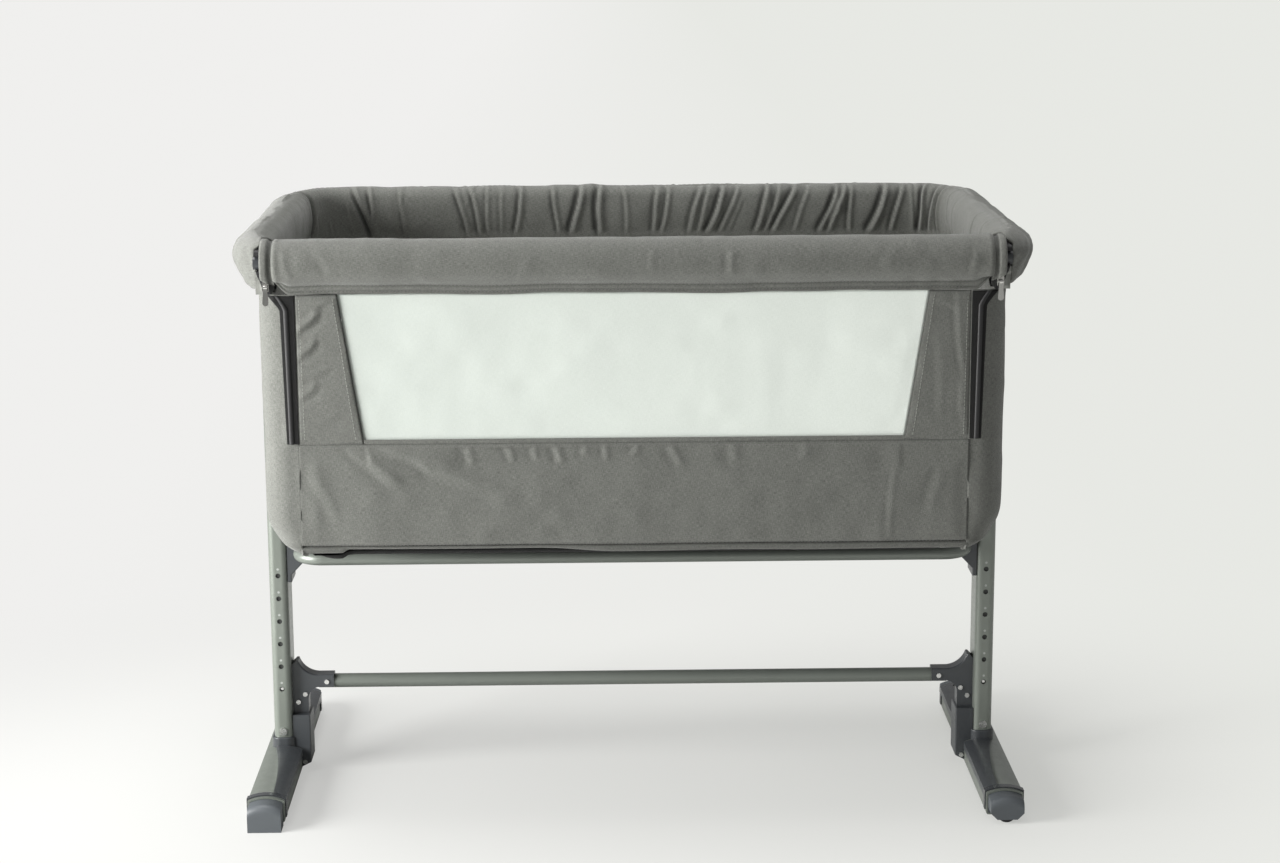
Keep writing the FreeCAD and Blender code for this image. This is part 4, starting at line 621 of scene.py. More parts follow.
def makeRailCover():
    places, outs, run, turned = railPath()
    section = spline(railCover["section"], railCover["around"]) * 0.001
    base = np.zeros((len(run), len(section), 3))
    base[:, :, :2] = places[:, None] + outs[:, None] * section[None, :, :1]
    base[:, :, 2] = railCover["axis"] + section[None, :, 1]
    warpMouths(base, outs, turned, section)
    s = np.repeat(run[:, None], len(section), 1)
    height = np.repeat(section[None, :, 1], len(run), 0)
    inward = smooth(-section[:, 0] / 0.012 + 0.2)[None]
    around = np.repeat(np.linspace(0, railCover["girth"], len(section))[None], len(run), 0)
    folds = np.zeros_like(s)
    for top, low, width, tall in railCover["rearFolds"]:
        folds += crease(s, height, (top, 0.026), (low, -0.038), width * 0.001, tall * 0.0016)
    folds *= inward
    valleyShade = smooth(-folds / 0.0022) * 0.8
    # gathers, closest together round the corners and near both mouths
    rng = np.random.default_rng(12)
    ends = run[-1]
    spots = np.concatenate([rng.uniform(low, high, count) for low, high, count in (
        (-ends, -ends + 0.13, 16), (ends - 0.13, ends, 20), (0.38, 0.56, 20), (-0.56, -0.38, 14),
        (-0.36, 0.36, 26), (-ends, ends, 20))])
    for spot in spots:
        lean = rng.uniform(-0.01, 0.012) + (0.006 if spot > 0 else -0.002)
        centre, reach = rng.uniform(0.02, 0.17), rng.uniform(0.018, 0.04)
        folds += crease(s, around, (spot + lean, centre - reach), (spot - lean, centre + reach),
                        rng.uniform(0.0018, 0.0034), rng.uniform(0.0004, 0.0011))
    # the deep fold where the left end meets the rear
    fromDeep = s + 0.452 + height * 0.12
    folds -= 0.0045 * inward * hump(fromDeep, 0.0045)
    ripple = np.sin(s / 0.00105 + 3 * softNoise(s, 0 * s, 0.02, 5))
    top = smooth((height - 0.018) / 0.008)
    folds += 0.00022 * ripple * top * smooth(softNoise(s, 0 * s, 0.09, 6) + 0.5)
    folds += 0.0016 * top * hump(s + 0.047, 0.012)
    folds += 0.0011 * softNoise(s, around, 0.045, 7) + 0.0005 * softNoise(s, around, 0.016, 8)
    bottom = smooth((-0.030 - height) / 0.005)
    folds *= 1 - 0.85 * bottom
    near = smooth((np.abs(s) - (ends - 0.012)) / 0.012)
    folds -= 0.0012 * near
    grid = base + outwardOf(base, True) * folds[..., None]
    # turned-in rims at both mouths
    centre = base[[0, -1]].mean(axis=1, keepdims=True)
    ahead = np.array([base[3].mean(0) - base[0].mean(0), base[-4].mean(0) - base[-1].mean(0)])
    ahead /= np.linalg.norm(ahead, axis=1, keepdims=True)
    rims = []
    for share, back in ((0.965, -0.0015), (0.90, -0.001), (0.88, 0.01)):
        rims.append([centre[k] + (grid[-k] - centre[k]) * share + ahead[k] * back for k in (0, 1)])
    grid = np.concatenate([[r[0] for r in rims[::-1]], grid, [r[1] for r in rims]])
    # painted shade in the fold valleys down the rear's inner side and in the deep fold at the left
    # end
    shade = np.zeros(grid.shape[:2])
    shade[3:-3] = valleyShade + 0.6 * inward * hump(fromDeep, 0.004)
    piece = sewn("rail_cover_cloth", grid, heatherCloth, "basket", closed=True,
                 shade=shade)
    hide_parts("rail_cover_left", "rail_cover_right", "rail_cover_rear")
    # ribbed black zip round the rim of each mouth
    for k, sideName in ((0, "left"), (1, "right")):
        ring = rims[1][k]
        mid = ring.mean(0)
        turns = np.linspace(0, 1, len(ring), endpoint=False)
        ribs = 1 + 0.012 * np.sign(np.sin(turns * 2 * math.pi * 56))[:, None]
        rows = [mid + (ring - mid) * share * (ribs if ribbed else 1) + ahead[k] * back
                for share, back, ribbed in ((0.99, 0.006, 0), (0.985, -0.001, 0), (0.95, -0.004, 1),
                                            (0.86, -0.0045, 1), (0.8, -0.002, 0), (0.78, 0.012, 0))]
        lip = sewn("mouth_zip_" + sideName, np.array(rows), coilPlastic, "basket",
                   closed=True, flip=(k == 0))
    return grid


makeRailCover()
print("rail cover sewn")


# padded cover of the folding front rail, with a flat flange that is stitched twice

frontCover = {
    "half": 0.413, "axis": (-0.254, 0.696), "around": 136, "step": 0.0028,
    # section from the top, down the front and up the back, millimetres
    "section": ((0, 27.4), (-11, 25), (-20.5, 18), (-26.3, 8), (-27.2, -2), (-24, -12),
                (-17, -20), (-11.5, -24.5), (-9.8, -28), (-9.6, -32), (-9.2, -35.7), (-6, -36.2),
                (-2.5, -35.6), (1, -31), (9, -25.5), (19, -18), (25.6, -8), (27.2, 2),
                (24.6, 12.5), (17.5, 21), (9, 25.8)),
    "stitchHeights": (-0.0265, -0.0325),
    # the open rim over the clip: place along the rail and height above the roll, millimetres
    "rim": ((411.6, -1.5), (413.8, -2.0), (416.2, -2.3), (417.6, -1.6), (418.8, 0.0),
            (420.2, 0.5), (422.2, 0.35), (424.2, 0.5), (425.8, 0.1), (426.6, -0.9),
            (426.2, -2.3), (424.0, -2.9), (418.0, -2.9)),
    # where the rim starts and ends round the roll, degrees, and the roll's largest radius
    "rimTop": 145, "rimLow": (-75, -39), "roll": 0.0273,
    "creases": ((-0.36, 0.02, -0.345, -0.01, 5, 0.5), (0.115, 0.012, 0.108, -0.012, 4, 0.8),
                (0.02, 0.016, 0.024, -0.008, 4, 0.5), (-0.12, 0.012, -0.118, -0.01, 6, 0.4),
                (0.3, 0.02, 0.29, -0.01, 6, 0.4), (-0.402, 0.018, -0.392, -0.014, 4, 0.6),
                (0.396, 0.014, 0.385, -0.018, 4, 0.6), (-0.25, -0.008, -0.22, -0.02, 6, 0.4)),
}


def makeRims(section):
    # the cloth runs on past a sewn groove and ends in a folded hem over the clip
    y, z = frontCover["axis"]
    angles = np.degrees(np.arctan2(section[:, 1], -section[:, 0]))
    order = np.argsort(angles)
    radii = np.minimum(np.hypot(section[:, 0], section[:, 1]), frontCover["roll"])
    start, stop = frontCover["rim"][0][0], max(place for place, lift in frontCover["rim"])
    lowStart, lowStop = frontCover["rimLow"]
    high = frontCover["rimTop"]
    for sideName, side in (("left", -1), ("right", 1)):
        rows = []
        for place, lift in frontCover["rim"]:
            share = min(max((place - start) / (stop - start), 0), 1)
            low = lowStart + (lowStop - lowStart) * share
            turn = np.linspace(low, high, 60)
            fade = smooth((turn - low) / 4) * smooth((high - turn) / 4)
            radius = np.interp(turn, angles[order], radii[order])
            radius += 0.001 * lift * (0.4 + 0.6 * fade)
            radius += 0.0003 * softNoise(turn / 900, 0 * turn + place / 1000, 0.012, 25 + side)
            rows.append(np.stack([np.full(60, place * side * 0.001),
                                  y - radius * np.cos(np.radians(turn)),
                                  z + radius * np.sin(np.radians(turn))], axis=1))
        # painted shade in the sewn groove and under the folded hem
        dark = np.array([0.5 if 413 < place < 418 else (0.9 if lift < -2.5 else 0.0)
                         for place, lift in frontCover["rim"]])
        piece = sewn("cover_rim_" + sideName, np.array(rows), heatherCloth, "drop_side",
                     flip=side > 0, shade=np.repeat(dark[:, None], 60, 1))


def makeFrontCover():
    half = frontCover["half"]
    y, z = frontCover["axis"]
    section = spline(frontCover["section"], frontCover["around"]) * 0.001
    x = np.linspace(-half, half, int(2 * half / frontCover["step"]))
    grid = np.zeros((len(x), len(section), 3))
    across = np.repeat(x[:, None], len(section), 1)
    up = np.repeat(section[None, :, 1], len(x), 0)
    front = smooth(-section[:, 0] / 0.008)[None]
    # the flange waves a little and turns up into the welt at both ends
    flange = smooth((-0.018 - up) / 0.012)
    ends = smooth((np.abs(across) - 0.392) / 0.024)
    lift = flange * (0.0011 * softNoise(across, 0 * up, 0.085, 21) + 0.0165 * ends ** 1.2)
    grid[..., 0] = across
    grid[..., 1] = y + section[None, :, 0]
    grid[..., 2] = z + up + lift
    puff = 0.0007 * softNoise(across, up, 0.05, 22) + 0.0003 * softNoise(across, up, 0.014, 23)
    puff += foldsOf(across, up, frontCover["creases"]) * front
    for level in frontCover["stitchHeights"]:
        puff -= 0.0011 * hump(up - level, 0.0011) * front
    welt = half - np.abs(across)
    puff += 0.0005 * hump(welt - 0.0035, 0.0025) * (1 - flange)
    puff -= 0.0016 * smooth((0.0016 - welt) / 0.0016)
    grid = grid + outwardOf(grid, True) * puff[..., None]
    # painted shade along both stitched lines and at the flange's lower edge
    shade = np.zeros(grid.shape[:2])
    for level in frontCover["stitchHeights"]:
        shade += 0.55 * hump(up - level, 0.0009) * front
    shade += 0.35 * smooth((-0.0345 - up) / 0.0015) * front
    shade = np.vstack([shade[:1]] * 3 + [shade] + [shade[-1:]] * 3)
    sections = [grid]
    for k, direction in ((0, 1), (-1, -1)):
        centre = np.array([grid[k][:, 0].mean(), y, z])
        rings = [centre + (grid[k] - centre) * share + np.array([direction * depth, 0, 0])
                 for share, depth in ((0.9, -0.0004), (0.72, 0.001), (0.36, 0.0015))]
        sections = [np.array(rings[::-1])] + sections if k == 0 else sections + [np.array(rings)]
    whole = np.concatenate(sections)
    piece = sewn("front_cover_cloth", whole, heatherCloth, "drop_side", closed=True,
                 shade=shade)
    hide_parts("front_rail_cover")
    # two rows of stitches along the flange
    outs = outwardOf(grid, True)
    lines = []
    for level in frontCover["stitchHeights"]:
        column = min((j for j in range(len(section)) if section[j, 0] < -0.005),
                     key=lambda j: abs(section[j, 1] - level))
        keep = slice(12, -12)
        lines.append((grid[keep, column], outs[keep, column]))
    stitches("flange_stitches", lines, "drop_side", material=threadGray)
    makeRims(section)


makeFrontCover()
print("front cover sewn")


# the cloth basket

basket = {
    "half": 0.434, "reach": 0.262, "corner": 0.036, "floor": 0.352, "round": 0.05,
    "seam": 0.484, "top": 0.660, "panelHalf": 0.389, "windowTop": 0.341, "windowBottom": 0.314,
    "cloth": 0.003, "gap": 0.0003,
}


def stripGrid(side, end, floor):
    # between the window's slanting edge and the upright edge of the panel
    top = basket["top"]
    rows = np.linspace(floor, top, 70)
    share = np.linspace(0, 1, 26)
    grid = np.zeros((len(rows), len(share), 3))
    for i, z in enumerate(rows):
        t = (z - floor) / (top - floor)
        near = basket["windowBottom"] + (basket["windowTop"] - basket["windowBottom"]) * t
        far = basket["panelHalf"] - basket["gap"]
        grid[i, :, 0] = (near + (far - near) * share) * side
        grid[i, :, 2] = z
    grid[..., 1] = basket["reach"] * end
    return grid


# wrinkles of the strips beside the front window: x, z of both ends, width, height
stripFolds = {
    "left": ((-0.392, 0.617, -0.362, 0.642, 4.5, 2.3), (-0.393, 0.585, -0.366, 0.608, 4.2, 1.8),
             (-0.39, 0.54, -0.366, 0.557, 4.5, 1.3), (-0.385, 0.566, -0.35, 0.574, 4, 0.8),
             (-0.38, 0.645, -0.35, 0.652, 3.5, 1.0), (-0.37, 0.512, -0.34, 0.517, 4, 0.5)),
    "right": ((0.372, 0.655, 0.384, 0.56, 3.5, 0.7), (0.352, 0.6, 0.358, 0.51, 5, 0.4),
              (0.38, 0.55, 0.383, 0.49, 3, 0.6), (0.35, 0.648, 0.372, 0.643, 3.5, 0.6)),
}


def makeStrips():
    edgeLines = {"drop_side": [], "basket": []}
    for sideName, side in (("left", -1), ("right", 1)):
        for endName, end, body in (("front", -1, "drop_side"), ("rear", 1, "basket")):
            floor = basket["seam"] + (basket["gap"] if end < 0 else 0)
            grid = stripGrid(side, end, floor)
            x, z = grid[..., 0], grid[..., 2]
            wide = np.abs(x - x[:, :1])
            away = np.abs(x[:, -1:] - x)
            high = basket["top"] - z
            edge = math.prod(smooth(gap / 0.006) for gap in (wide, away, z - floor, high))
            puff = 0.0013 * edge + 0.0007 * softNoise(x, z, 0.03, 31 + side) * edge
            puff += foldsOf(x, z, stripFolds[sideName]) * smooth(away / 0.004)
            # folded edges stand a little proud
            puff += 0.0007 * hump(wide - 0.0012, 0.0014)
            puff += 0.0009 * hump(away - 0.0012, 0.0016)
            # near the seam the cloth lies flat, so that the folded front clears the band
            puff = np.minimum(puff, 0.0003 + 0.042 * (z - floor))
            grid[..., 1] += puff * end
            # painted shadow along the strip's edge beside the window, painted shade along the seam
            # and under the rail cover
            shade = 0.75 * hump(wide, 0.0012) + 0.3 * hump(z - floor, 0.001)
            shade = shade + 0.5 * smooth((0.002 - high) / 0.002)
            name = f"{endName}_strip_{sideName}"
            flip = (side > 0) == (end > 0)
            piece = sewn(name, grid, heatherCloth, body, flip=not flip,
                         thick=basket["cloth"], shade=shade)
            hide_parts(f"{endName}_panel_{sideName}")
            out = np.tile([0, end, 0], (len(grid), 1))
            edgeLines[body].append((grid[2:-2, -3], out[2:-2]))
            edgeLines[body].append((grid[2:-2, 3], out[2:-2]))
    # pale stitches along the strips' folded edges, also a painted highlight on those edges
    stitches("front_strip_stitches", edgeLines["drop_side"], "drop_side", material=paleThreadAndHighlight)
    stitches("rear_strip_stitches", edgeLines["basket"], "basket", material=paleThreadAndHighlight)


def makeWindows():
    for endName, end, body in (("front", -1, "drop_side"), ("rear", 1, "basket")):
        floor = basket["seam"] + (basket["gap"] if end < 0 else 0)
        rows = np.linspace(floor, basket["top"], 60)
        share = np.linspace(-1, 1, 220)
        t = (rows - floor) / (basket["top"] - floor)
        reach = basket["windowBottom"] + (basket["windowTop"] - basket["windowBottom"]) * t
        grid = np.zeros((60, 220, 3))
        grid[..., 0] = reach[:, None] * share[None]
        grid[..., 2] = rows[:, None]
        x, z = grid[..., 0], grid[..., 2]
        hold = smooth((reach[:, None] - np.abs(x)) / 0.02)
        hold = hold * smooth(t[:, None] / 0.12) * smooth((1 - t[:, None]) / 0.12)
        soft = 0.0006 * softNoise(x, z, 0.07, 41) + 0.0003 * softNoise(x, z, 0.025, 42)
        grid[..., 1] = (basket["reach"] - 0.0018) * end + soft * hold * end
        piece = sewn(endName + "_window_knit", grid, windowKnit, body, flip=end < 0,
                     thick=0.0008)
        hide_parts(endName + "_window")


makeStrips()
makeWindows()
print("front and rear panels sewn")


# the bands below the windows: x, z of both ends, width, height of each fold

bandFolds = (
    (-0.335, 0.482, -0.27, 0.44, 7, 1.6), (-0.29, 0.484, -0.235, 0.452, 6, 1.3),
    (-0.25, 0.472, -0.16, 0.43, 9, 1.2), (-0.2, 0.484, -0.185, 0.462, 5, 1.0),
    (-0.15, 0.485, -0.142, 0.462, 4, 1.1), (-0.118, 0.485, -0.112, 0.466, 4, 1.0),
    (-0.09, 0.485, -0.088, 0.46, 4.5, 1.3), (-0.06, 0.485, -0.055, 0.47, 4, 0.9),
    (-0.03, 0.485, -0.034, 0.463, 4, 1.0), (0.002, 0.485, 0.0, 0.468, 4, 0.9),
    (0.045, 0.484, 0.052, 0.455, 5, 1.0), (0.12, 0.484, 0.112, 0.46, 6, 0.8),
    (0.2, 0.484, 0.195, 0.462, 6, 0.6), (-0.37, 0.46, -0.35, 0.39, 7, 0.8),
    (0.302, 0.45, 0.3, 0.365, 3.5, 0.6), (0.36, 0.47, 0.35, 0.4, 6, 0.6),
    (-0.1, 0.40, -0.02, 0.385, 10, 0.6), (0.1, 0.415, 0.19, 0.395, 10, 0.6),
)


hem = {"height": 0.009, "depth": 0.008, "stitched": 0.0102, "drawn": 0.0046}


def makeBands():
    low, seam, reach = basket["floor"], basket["seam"], basket["reach"]
    half, depth, height = basket["panelHalf"], hem["depth"], hem["height"]
    lines = []
    for endName, end in (("front", -1), ("rear", 1)):
        # from under the floor's edge, round the hem and up to the seam
        profile = [(reach - 2 * depth, low)]
        profile += [(reach - depth + depth * math.cos(a), low + height - height * math.sin(a))
                    for a in np.linspace(math.pi / 2, 0, 8)]
        profile += [(reach, z) for z in np.linspace(low + 0.0098, low + 0.014, 7, endpoint=False)]
        profile += [(reach, z) for z in np.linspace(low + 0.014, seam, 60)]
        profile = np.array(profile)
        x = np.linspace(-half - 0.0014, half + 0.0014, 300)
        grid = np.zeros((len(profile), len(x), 3))
        grid[..., 0] = x[None]
        grid[..., 1] = profile[:, :1] * end
        grid[..., 2] = profile[:, 1:]
        across, z = grid[..., 0].copy(), grid[..., 2].copy()
        above = z - low
        rise = above / (seam - low)
        hold = smooth(rise / 0.12) * smooth((1.0 - rise) / 0.06)
        sideHold = smooth((half - np.abs(across)) / 0.02)
        puff = 0.0004 + 0.0022 * np.sin(np.clip(rise, 0, 1) * math.pi) * sideHold
        puff += 0.0011 * softNoise(across, z, 0.06, 51) * hold
        puff += 0.0006 * softNoise(across, z, 0.022, 52) * hold
        puff += foldsOf(across, z, bandFolds, -end) * hold
        # hem: a stitched line, a soft roll under it and a slight wave
        puff -= 0.0024 * hump(above - hem["stitched"], 0.0011)
        puff += 0.0008 * hump(above - 0.0135, 0.002)
        # flat near the seam beside the window, where the folded front's strips come down
        middle = smooth((0.312 - np.abs(across)) / 0.015)
        puff = np.minimum(puff, 0.0005 + 0.042 * (seam - z) + 0.01 * middle)
        grid[..., 1] += puff * end
        # painted shade along the stitched line, under it, at the hem's foot, the seam and both
        # sides
        shade = 0.85 * hump(above - 0.0098, 0.0010) + 0.22 * smooth((0.0098 - above) / 0.001)
        shade += 0.7 * smooth((0.0012 - above) / 0.001) + 0.35 * hump(z - seam, 0.0012)
        shade += 0.6 * smooth((np.abs(across) - half + 0.0004) / 0.0012)
        wave = 0.0008 * softNoise(across, 0 * z, 0.11, 53) * smooth((0.02 - above) / 0.02)
        # left of the middle the hem is drawn up a little
        along = across * -end
        drawn = smooth((along + 0.345) / 0.01) * smooth((-0.02 - along) / 0.09)
        wave += hem["drawn"] * drawn * np.clip(1 - above / hem["stitched"], 0, 1)
        grid[..., 2] += wave * sideHold
        piece = sewn(endName + "_band_cloth", grid, heatherCloth, "basket",
                     flip=end < 0, thick=basket["cloth"] * 0.8, shade=shade)
        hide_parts(endName + "_band")
        row = int(np.argmin(np.abs(profile[:, 1] - low - hem["stitched"])))
        out = np.tile([0, end, 0], (len(x), 1))
        lines += [(grid[row], out), (grid[-3], out)]
    stitches("band_stitches", lines, "basket")


def endRows():
    # rows of the basket's end: the rounded lower corner, then straight up
    low, turn, half = basket["floor"], basket["round"], basket["half"]
    rows = []
    for a in np.linspace(math.pi / 2, 0, 18, endpoint=False):
        rows.append((half - turn + turn * math.cos(a), low + turn - turn * math.sin(a)))
    rows += [(half, z) for z in np.linspace(low + turn, basket["top"], 74)]
    return rows


def endGrid(side):
    seam, reach = basket["panelHalf"], basket["reach"]
    rows = []
    for wide, z in endRows():
        bend = min(basket["corner"], max(wide - seam, 0.0004))
        start = min(seam, wide - bend)
        plan = [(x, -reach) for x in np.linspace(start, wide - bend, 4, endpoint=False)]
        plan += [(wide - bend + bend * math.sin(a), -reach + bend - bend * math.cos(a))
                 for a in np.linspace(0, math.pi / 2, 16, endpoint=False)]
        plan += [(wide, y) for y in np.linspace(-reach + bend, reach - bend, 110, endpoint=False)]
        plan += [(wide - bend + bend * math.cos(a), reach - bend + bend * math.sin(a))
                 for a in np.linspace(0, math.pi / 2, 16, endpoint=False)]
        plan += [(x, reach) for x in np.linspace(wide - bend, start, 4)]
        rows.append([(x * side, y, z) for x, y in plan])
    return np.array(rows)


zips = {"low": 0.485, "high": 0.659, "width": 0.0142, "flare": 0.034, "proud": 0.0012,
        "widening": 0.004, "bend": 0.9}


def tapeWidth(z):
    rise = (z - zips["low"]) / (zips["high"] - zips["low"])
    flare = max(0, (rise - zips["bend"]) / (1 - zips["bend"])) ** 1.3
    return zips["width"] + zips["widening"] * rise + (
        zips["flare"] - zips["width"] - zips["widening"]) * flare


def makeEnds():
    lines = []
    for sideName, side in (("left", -1), ("right", 1)):
        grid = endGrid(side)
        run = runOf(grid[-1])
        s = np.repeat(run[None], len(grid), 0)
        z = grid[..., 2]
        rise = (z - basket["floor"]) / (basket["top"] - basket["floor"])
        edge = smooth(s / 0.01) * smooth((run[-1] - s) / 0.01)
        hold = edge * smooth(rise / 0.1) * smooth((1 - rise) / 0.06)
        puff = 0.0009 * hold * softNoise(s, z, 0.07, 61 + side)
        puff += 0.0005 * hold * softNoise(s, z, 0.025, 62)
        rng = np.random.default_rng(64 + side)
        for spot in rng.uniform(0.05, run[-1] - 0.05, 12):
            foot = (spot + rng.uniform(-0.02, 0.02), rng.uniform(0.59, 0.63))
            puff += crease(s, z, (spot, 0.655), foot, 0.004, rng.uniform(0.0005, 0.0011)) * hold
        for height in (0.40, 0.47, 0.56):
            puff += crease(s, z, (0.06, height), (0.2, height - 0.012), 0.009, 0.0006) * hold
        above = z - basket["floor"]
        puff -= 0.0012 * hump(above - hem["stitched"], 0.0012) * edge
        # raised patch near the front and rear corners
        for middle in (0.046, run[-1] - 0.046):
            u, v = np.abs(s - middle), np.abs(z - 0.452)
            patch = smooth((0.0125 - u) / 0.0012) * smooth((0.03 - v) / 0.0012) * (u + v < 0.036)
            puff += 0.0008 * edge * patch
        # flat under the zip's tape
        wide = np.vectorize(tapeWidth)(z)
        under = smooth((wide + 0.004 - s) / 0.003) * smooth((z - 0.483) / 0.002)
        puff = puff * (1 - under) - 0.0006 * under
        # painted shade along the hem's stitched line
        shade = 0.5 * hump(above - hem["stitched"], 0.0012) * edge
        grid = grid + outwardOf(grid) * (puff * (-side))[..., None]
        # the hem turns in at the front and rear
        lowered = np.clip((hem["height"] - above) / hem["height"], 0, 1)
        turned = hem["depth"] * (1 - np.sqrt(1 - lowered ** 2))
        y = grid[..., 1].copy()
        grid[..., 1] -= np.sign(y) * turned * smooth((np.abs(y) - 0.23) / 0.02)
        piece = sewn("basket_end_" + sideName, grid, heatherCloth, "basket",
                     flip=side > 0, thick=basket["cloth"], shade=shade)
        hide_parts("end_panel_" + sideName)
        outs = outwardOf(grid) * -side
        lines.append((grid[6, 2:-2], outs[6, 2:-2]))
        lines.append((grid[14:-12, -3], outs[14:-12, -3]))
    stitches("end_stitches", lines, "basket")


underside = {"half": (0.3835, 0.2485), "sag": 0.0022, "slack": 0.0055, "belly": 0.0062}


def makeUnderside():
    hx, hy = underside["half"]
    x, y = np.linspace(-hx, hx, 120)[:, None], np.linspace(-hy, hy, 60)[None]
    grid = np.zeros((120, 60, 3))
    grid[..., 0], grid[..., 1] = x, y
    fromEnd, fromFront = hx - np.abs(x), hy - np.abs(y)
    inside = smooth(fromEnd / 0.05) * smooth(fromFront / 0.05)
    uneven = 0.0006 * softNoise(grid[..., 0], grid[..., 1], 0.06, 71)
    level = basket["floor"] + 0.0012 - underside["sag"] * inside + uneven * inside
    # the lining hangs out a little at the front left corner
    slack = smooth((-0.335 - x) / 0.012) * smooth((hx + x) / 0.004)
    level -= underside["slack"] * slack * smooth((-0.17 - y) / 0.06)
    belly = smooth(fromFront / 0.006) * smooth(fromEnd / 0.03)
    level -= underside["belly"] * belly * smooth((np.abs(y) - 0.15) / 0.07)
    grid[..., 2] = level
    piece = sewn("underside_cloth", grid, underCloth, "basket", flip=True,
                 thick=0.0006)
    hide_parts("bottom_panel")


makeBands()
makeEnds()
makeUnderside()
print("basket sewn")


# zips: a black tape that follows the corner of the basket and a coil down its middle


def onCorner(side, distance, z, proud):
    # a point this far from the panel's edge, measured round the corner of the basket
    flat = basket["half"] - basket["corner"] - basket["panelHalf"]
    reach, bend = basket["reach"], basket["corner"]
    if distance < flat:
        return ((basket["panelHalf"] + distance) * side, -reach - proud, z)
    turn = (distance - flat) / bend
    x = basket["half"] - bend + (bend + proud) * math.sin(turn)
    return (x * side, -reach + bend - (bend + proud) * math.cos(turn), z)


def makeZips():
    for sideName, side in (("left", -1), ("right", 1)):
        rows = np.linspace(zips["low"], zips["high"], 60)
        tape = np.array([[onCorner(side, 0.0006 + (tapeWidth(z) - 0.0006) * t, z, zips["proud"])
                          for t in np.linspace(0, 1, 18)] for z in rows])
        piece = sewn("zip_tape_" + sideName, tape, zipTape, "basket", flip=side > 0,
                     thick=0.0006)
        if side < 0:
            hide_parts("zip_tapes")
        # the coil: fine ribs across a low ridge
        fine = np.linspace(zips["low"], zips["high"], 520)
        turns = np.linspace(-1, 1, 9)
        coil = []
        for z in fine:
            middle = tapeWidth(z) * 0.62
            rib = 0.00025 * math.sin((z - zips["low"]) / 0.0014 * 2 * math.pi)
            coil.append([onCorner(side, middle + t * 0.0027, z,
                                  zips["proud"] + (0.0016 + rib) * math.sqrt(max(1 - t * t, 0)))
                         for t in turns])
        piece = sewn("zip_coil_" + sideName, np.array(coil), coilPlastic, "basket",
                     flip=side > 0)


makeZips()
print("zips laid")


# the cloth hinge along the seam under the folding front

seamFold = {"half": 0.3885, "low": 0.4785, "high": 0.4895, "hinge": -0.2628, "bent": 0.0018}


def makeSeamFold():
    seam = basket["seam"]
    grid = np.zeros((14, 240, 3))
    grid[..., 0] = np.linspace(-seamFold["half"], seamFold["half"], 240)[None]
    grid[..., 2] = np.linspace(seamFold["low"], seamFold["high"], 14)[:, None]
    proud = 0.0004 + 0.0003 * softNoise(grid[..., 0], grid[..., 2], 0.03, 81)
    groove = 0.0006 * hump(grid[..., 2] - seam, 0.0012)
    grid[..., 1] = -basket["reach"] - proud + groove
    piece = sewn("seam_fold", grid, heatherCloth, None, flip=True)
    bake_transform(piece)


makeSeamFold()


# mattress: swelled by a short cloth simulation, then sewn down in channels

mattress = {
    "half": (0.404, 0.245), "corner": 0.045, "low": 0.3638, "side": 0.020, "crown": 0.007,
    "pressure": 3.0, "frames": 16, "most": 0.006, "pitch": 0.138, "channel": 0.0045,
    "space": (0.4085, 0.2495, 0.3985),
}


